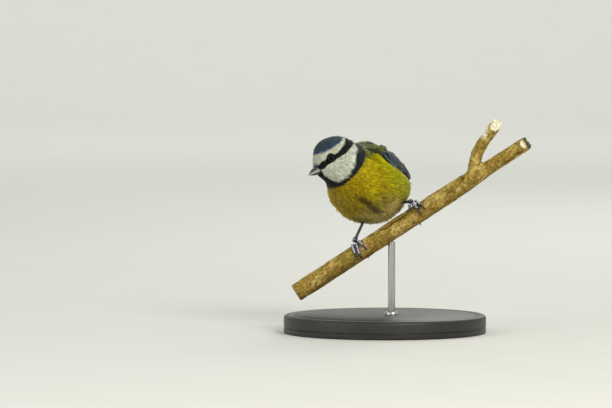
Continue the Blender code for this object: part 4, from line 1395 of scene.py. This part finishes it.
stretched = drawn_out(0.32)
wrinkles = mottle(stretched, 1.5, 41) * 0.10 + mottle(stretched, 3.4, 42) * 0.12
lenticels = step(0.75, 1.05, mottle(places, 1.9, 43))
fissure = step(0.62, 0.95, mottle(drawn_out(0.10), 1.7, 44)) * step(0.0, 0.5, mottle(places, 14.0, 45))
cracks = np.maximum.reduce([gash(*crack) for crack in CRACKS])
scar = np.linalg.norm(places - KNOT_SCAR, axis=1)
scar_rim = 0.28 * np.exp(-((scar - 1.7) ** 2) / 0.35) - 0.3 * step(1.2, 0.4, scar)
relief = wrinkles + lenticels * 0.12 - cracks * 0.5 - fissure * 0.16 + scar_rim
ragged = step(BRANCH_HIGH_END - 2.6, BRANCH_HIGH_END - 0.8, along)
splinters = ragged * (mottle(stretched * (0.1, 1, 1), 1.1, 50) * 0.9 - 0.7)
move_points(stick, places + normals * (relief - BARK_SWELL)[:, None] + BRANCH_AXIS * splinters[:, None])

rubbed = np.hypot((along + 25.5) * 0.6, (turn - 74) * MM_PER_DEGREE) + 0.3 * mottle(places, 1.0, 51)
on_cut = (np.abs((places - SHOOT_CUT) @ SHOOT_CUT_FACES) < 0.7) & (normals @ SHOOT_CUT_FACES > 0.55)
bare_side = step(2.4, 1.2, np.abs(places[:, 0] - 43.6)) * step(0.1, -0.4, normals[:, 0])
bare_side = bare_side * window(86.0, 88.0, 91.0, 93.0, places[:, 2]) * on_shoot
low_cut = (along < BRANCH_LOW_END + 0.6) & (normals @ BRANCH_AXIS < -0.6) & (off_axis < 3.6)
rings = 0.75 + 0.25 * (0.5 + 0.5 * np.sin(off_axis * 7.0 + mottle(places, 3.0, 49)))
colour = layered(
    BARK_MAIN,
    (BARK_LIGHT, step(-0.2, 0.9, mottle(places, 7.0, 46))),
    (BARK_OLIVE, step(0.0, 0.9, mottle(places, 11.0, 47)) * 0.7),
    (BARK_BROWN, step(0.2, 0.8, mottle(stretched, 1.3, 48)) * 0.7),
    # painted shade: the bark darker round the sides and the underside of the branch
    (BARK_BROWN, step(60, 130, np.abs(turn)) * 0.35 * ~on_shoot),
    (RUBBED_WOOD, step(1.5, 0.9, rubbed) * ~on_shoot),
    (BARK_CRACK, np.maximum(cracks, fissure * 0.7)),
    (BARK_CRACK, step(1.5, 0.6, scar) * 0.8),
    (CUT_WOOD, on_cut * 1.0),
    (BARE_WOOD, bare_side),
    (CUT_WOOD * rings[:, None], low_cut * 1.0),
    (BARK_CRACK, ragged * 0.75),
)
paint(stick, np.clip(colour, 0, 1))
piece("perch", stick, BARK, "bark", "branch", "side_shoot")

# ---------------------------------------------------------------- stand

def turned_mesh(name, profile, middle, sides):
    """A body turned about an upright axis, from pairs of radius and height in millimetres."""
    turn = angles_round(sides)
    circle = np.stack((np.cos(turn), np.sin(turn), 0 * turn), axis=-1)
    return ring_mesh(name, [circle * r + (*middle, z) for r, z in profile])


# The foot plate's profile: its chamfered foot, a turned groove, a rounded edge, a fine groove on top
edge = [(43.6 + 1.4 * math.cos(a), 6.6 + 1.4 * math.sin(a)) for a in np.linspace(0, math.pi / 2, 8)]
foot_edge = [(44.4, 0.0), (44.8, 0.15), (45.0, 0.5)]
groove = [(45.0, 2.2), (44.7, 2.35), (44.6, 2.6), (44.7, 2.85), (45.0, 3.0)]
rim = [(41.0, 8.0), (40.85, 7.9), (40.6, 7.86), (40.35, 7.9), (40.2, 8.0), (8.0, 8.0), (4.0, 8.0)]
profile = [(30.0, 0.0), *foot_edge, *groove, *edge, *rim]
base = turned_mesh("stand_foot_plate", profile, (0.0, 0.0), 128)
base.set_sharp_from_angle(angle=math.radians(50))
piece("stand_foot_plate", base, LACQUER, "stand_lacquer", "stand_base")

# The rod has a collar where it enters the plate, and ends inside the branch
rod_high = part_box("stand_rod")[1]
top_of_rod = rod_high.z / MM
collar = [(2.9, 7.95), (3.1, 8.1), (3.1, 9.0), (2.9, 9.25), (1.75, 9.3), (1.6, 9.45)]
profile = [*collar, (1.6, 20.0), (1.6, 30.0), (1.6, top_of_rod + 1.6)]
rod = turned_mesh("stand_upright", profile, (3.0, 0.0), 48)
rod.set_sharp_from_angle(angle=math.radians(40))
piece("stand_upright", rod, STEEL, "stand_steel", "stand_rod")

# ---------------------------------------------------------------- floor, light and camera

def sweep():
    """A floor that curves up into a wall far behind the bird, so no horizon shows."""
    bend = [(2.5 + 1.2 * math.sin(a), 1.2 - 1.2 * math.cos(a)) for a in np.linspace(0, math.pi / 2, 16)]
    line = [(-5.0, 0.0)] + bend + [(3.7, 5.0)]
    points = [(x, y, z) for y, z in line for x in (-6.0, 6.0)]
    faces = [(2 * k, 2 * k + 1, 2 * k + 3, 2 * k + 2) for k in range(len(line) - 1)]
    mesh = bpy.data.meshes.new("floor")
    mesh.from_pydata(points, [], faces)
    mesh.shade_smooth()
    mesh.materials.append(PAPER)
    floor = placed("floor", mesh)


sweep()


def soft_light(name, place, size, power, colour, towards=(0, 0, 0.06)):
    """A large soft light that faces the bird, or another place."""
    data = bpy.data.lights.new(name, "AREA")
    data.shape = "DISK"
    data.size = size
    data.energy = power
    data.color = linear(colour)
    light = placed(name, data)
    light.location = place
    light.rotation_euler = (Vector(towards) - Vector(place)).to_track_quat("-Z", "Y").to_euler()


soft_light("key", (0.5, -1.1, 0.72), 0.5, 10.0, "#FFF8EC")
soft_light("fill", (-1.0, -0.6, 0.4), 0.9, 3.6, "#F2F5FF")
soft_light("back", (0.3, 0.9, 0.8), 0.7, 4.0, "#FFFFFF")
soft_light("wall", (0.0, 1.6, 1.8), 1.6, 22.0, "#FFFFFF", towards=(0, 3.7, 0.9))
sky = bpy.data.worlds.new("studio")
sky.use_nodes = True
background = sky.node_tree.nodes["Background"].inputs
background["Color"].default_value = (*linear("#EEF0EE"), 1)
background["Strength"].default_value = 0.7
bpy.context.scene.world = sky

camera_data = bpy.data.cameras.new("camera")
camera_data.sensor_width = 36.0
camera_data.lens = 300.4
camera_data.clip_start = 0.1
camera_data.clip_end = 50.0
camera = placed("camera", camera_data)
camera.location = (-0.0351, -2.2669, 0.1761)
camera.rotation_euler = (math.radians(87.0), 0.0, 0.0)
bpy.context.scene.camera = camera
bpy.context.scene.view_settings.view_transform = "Standard"
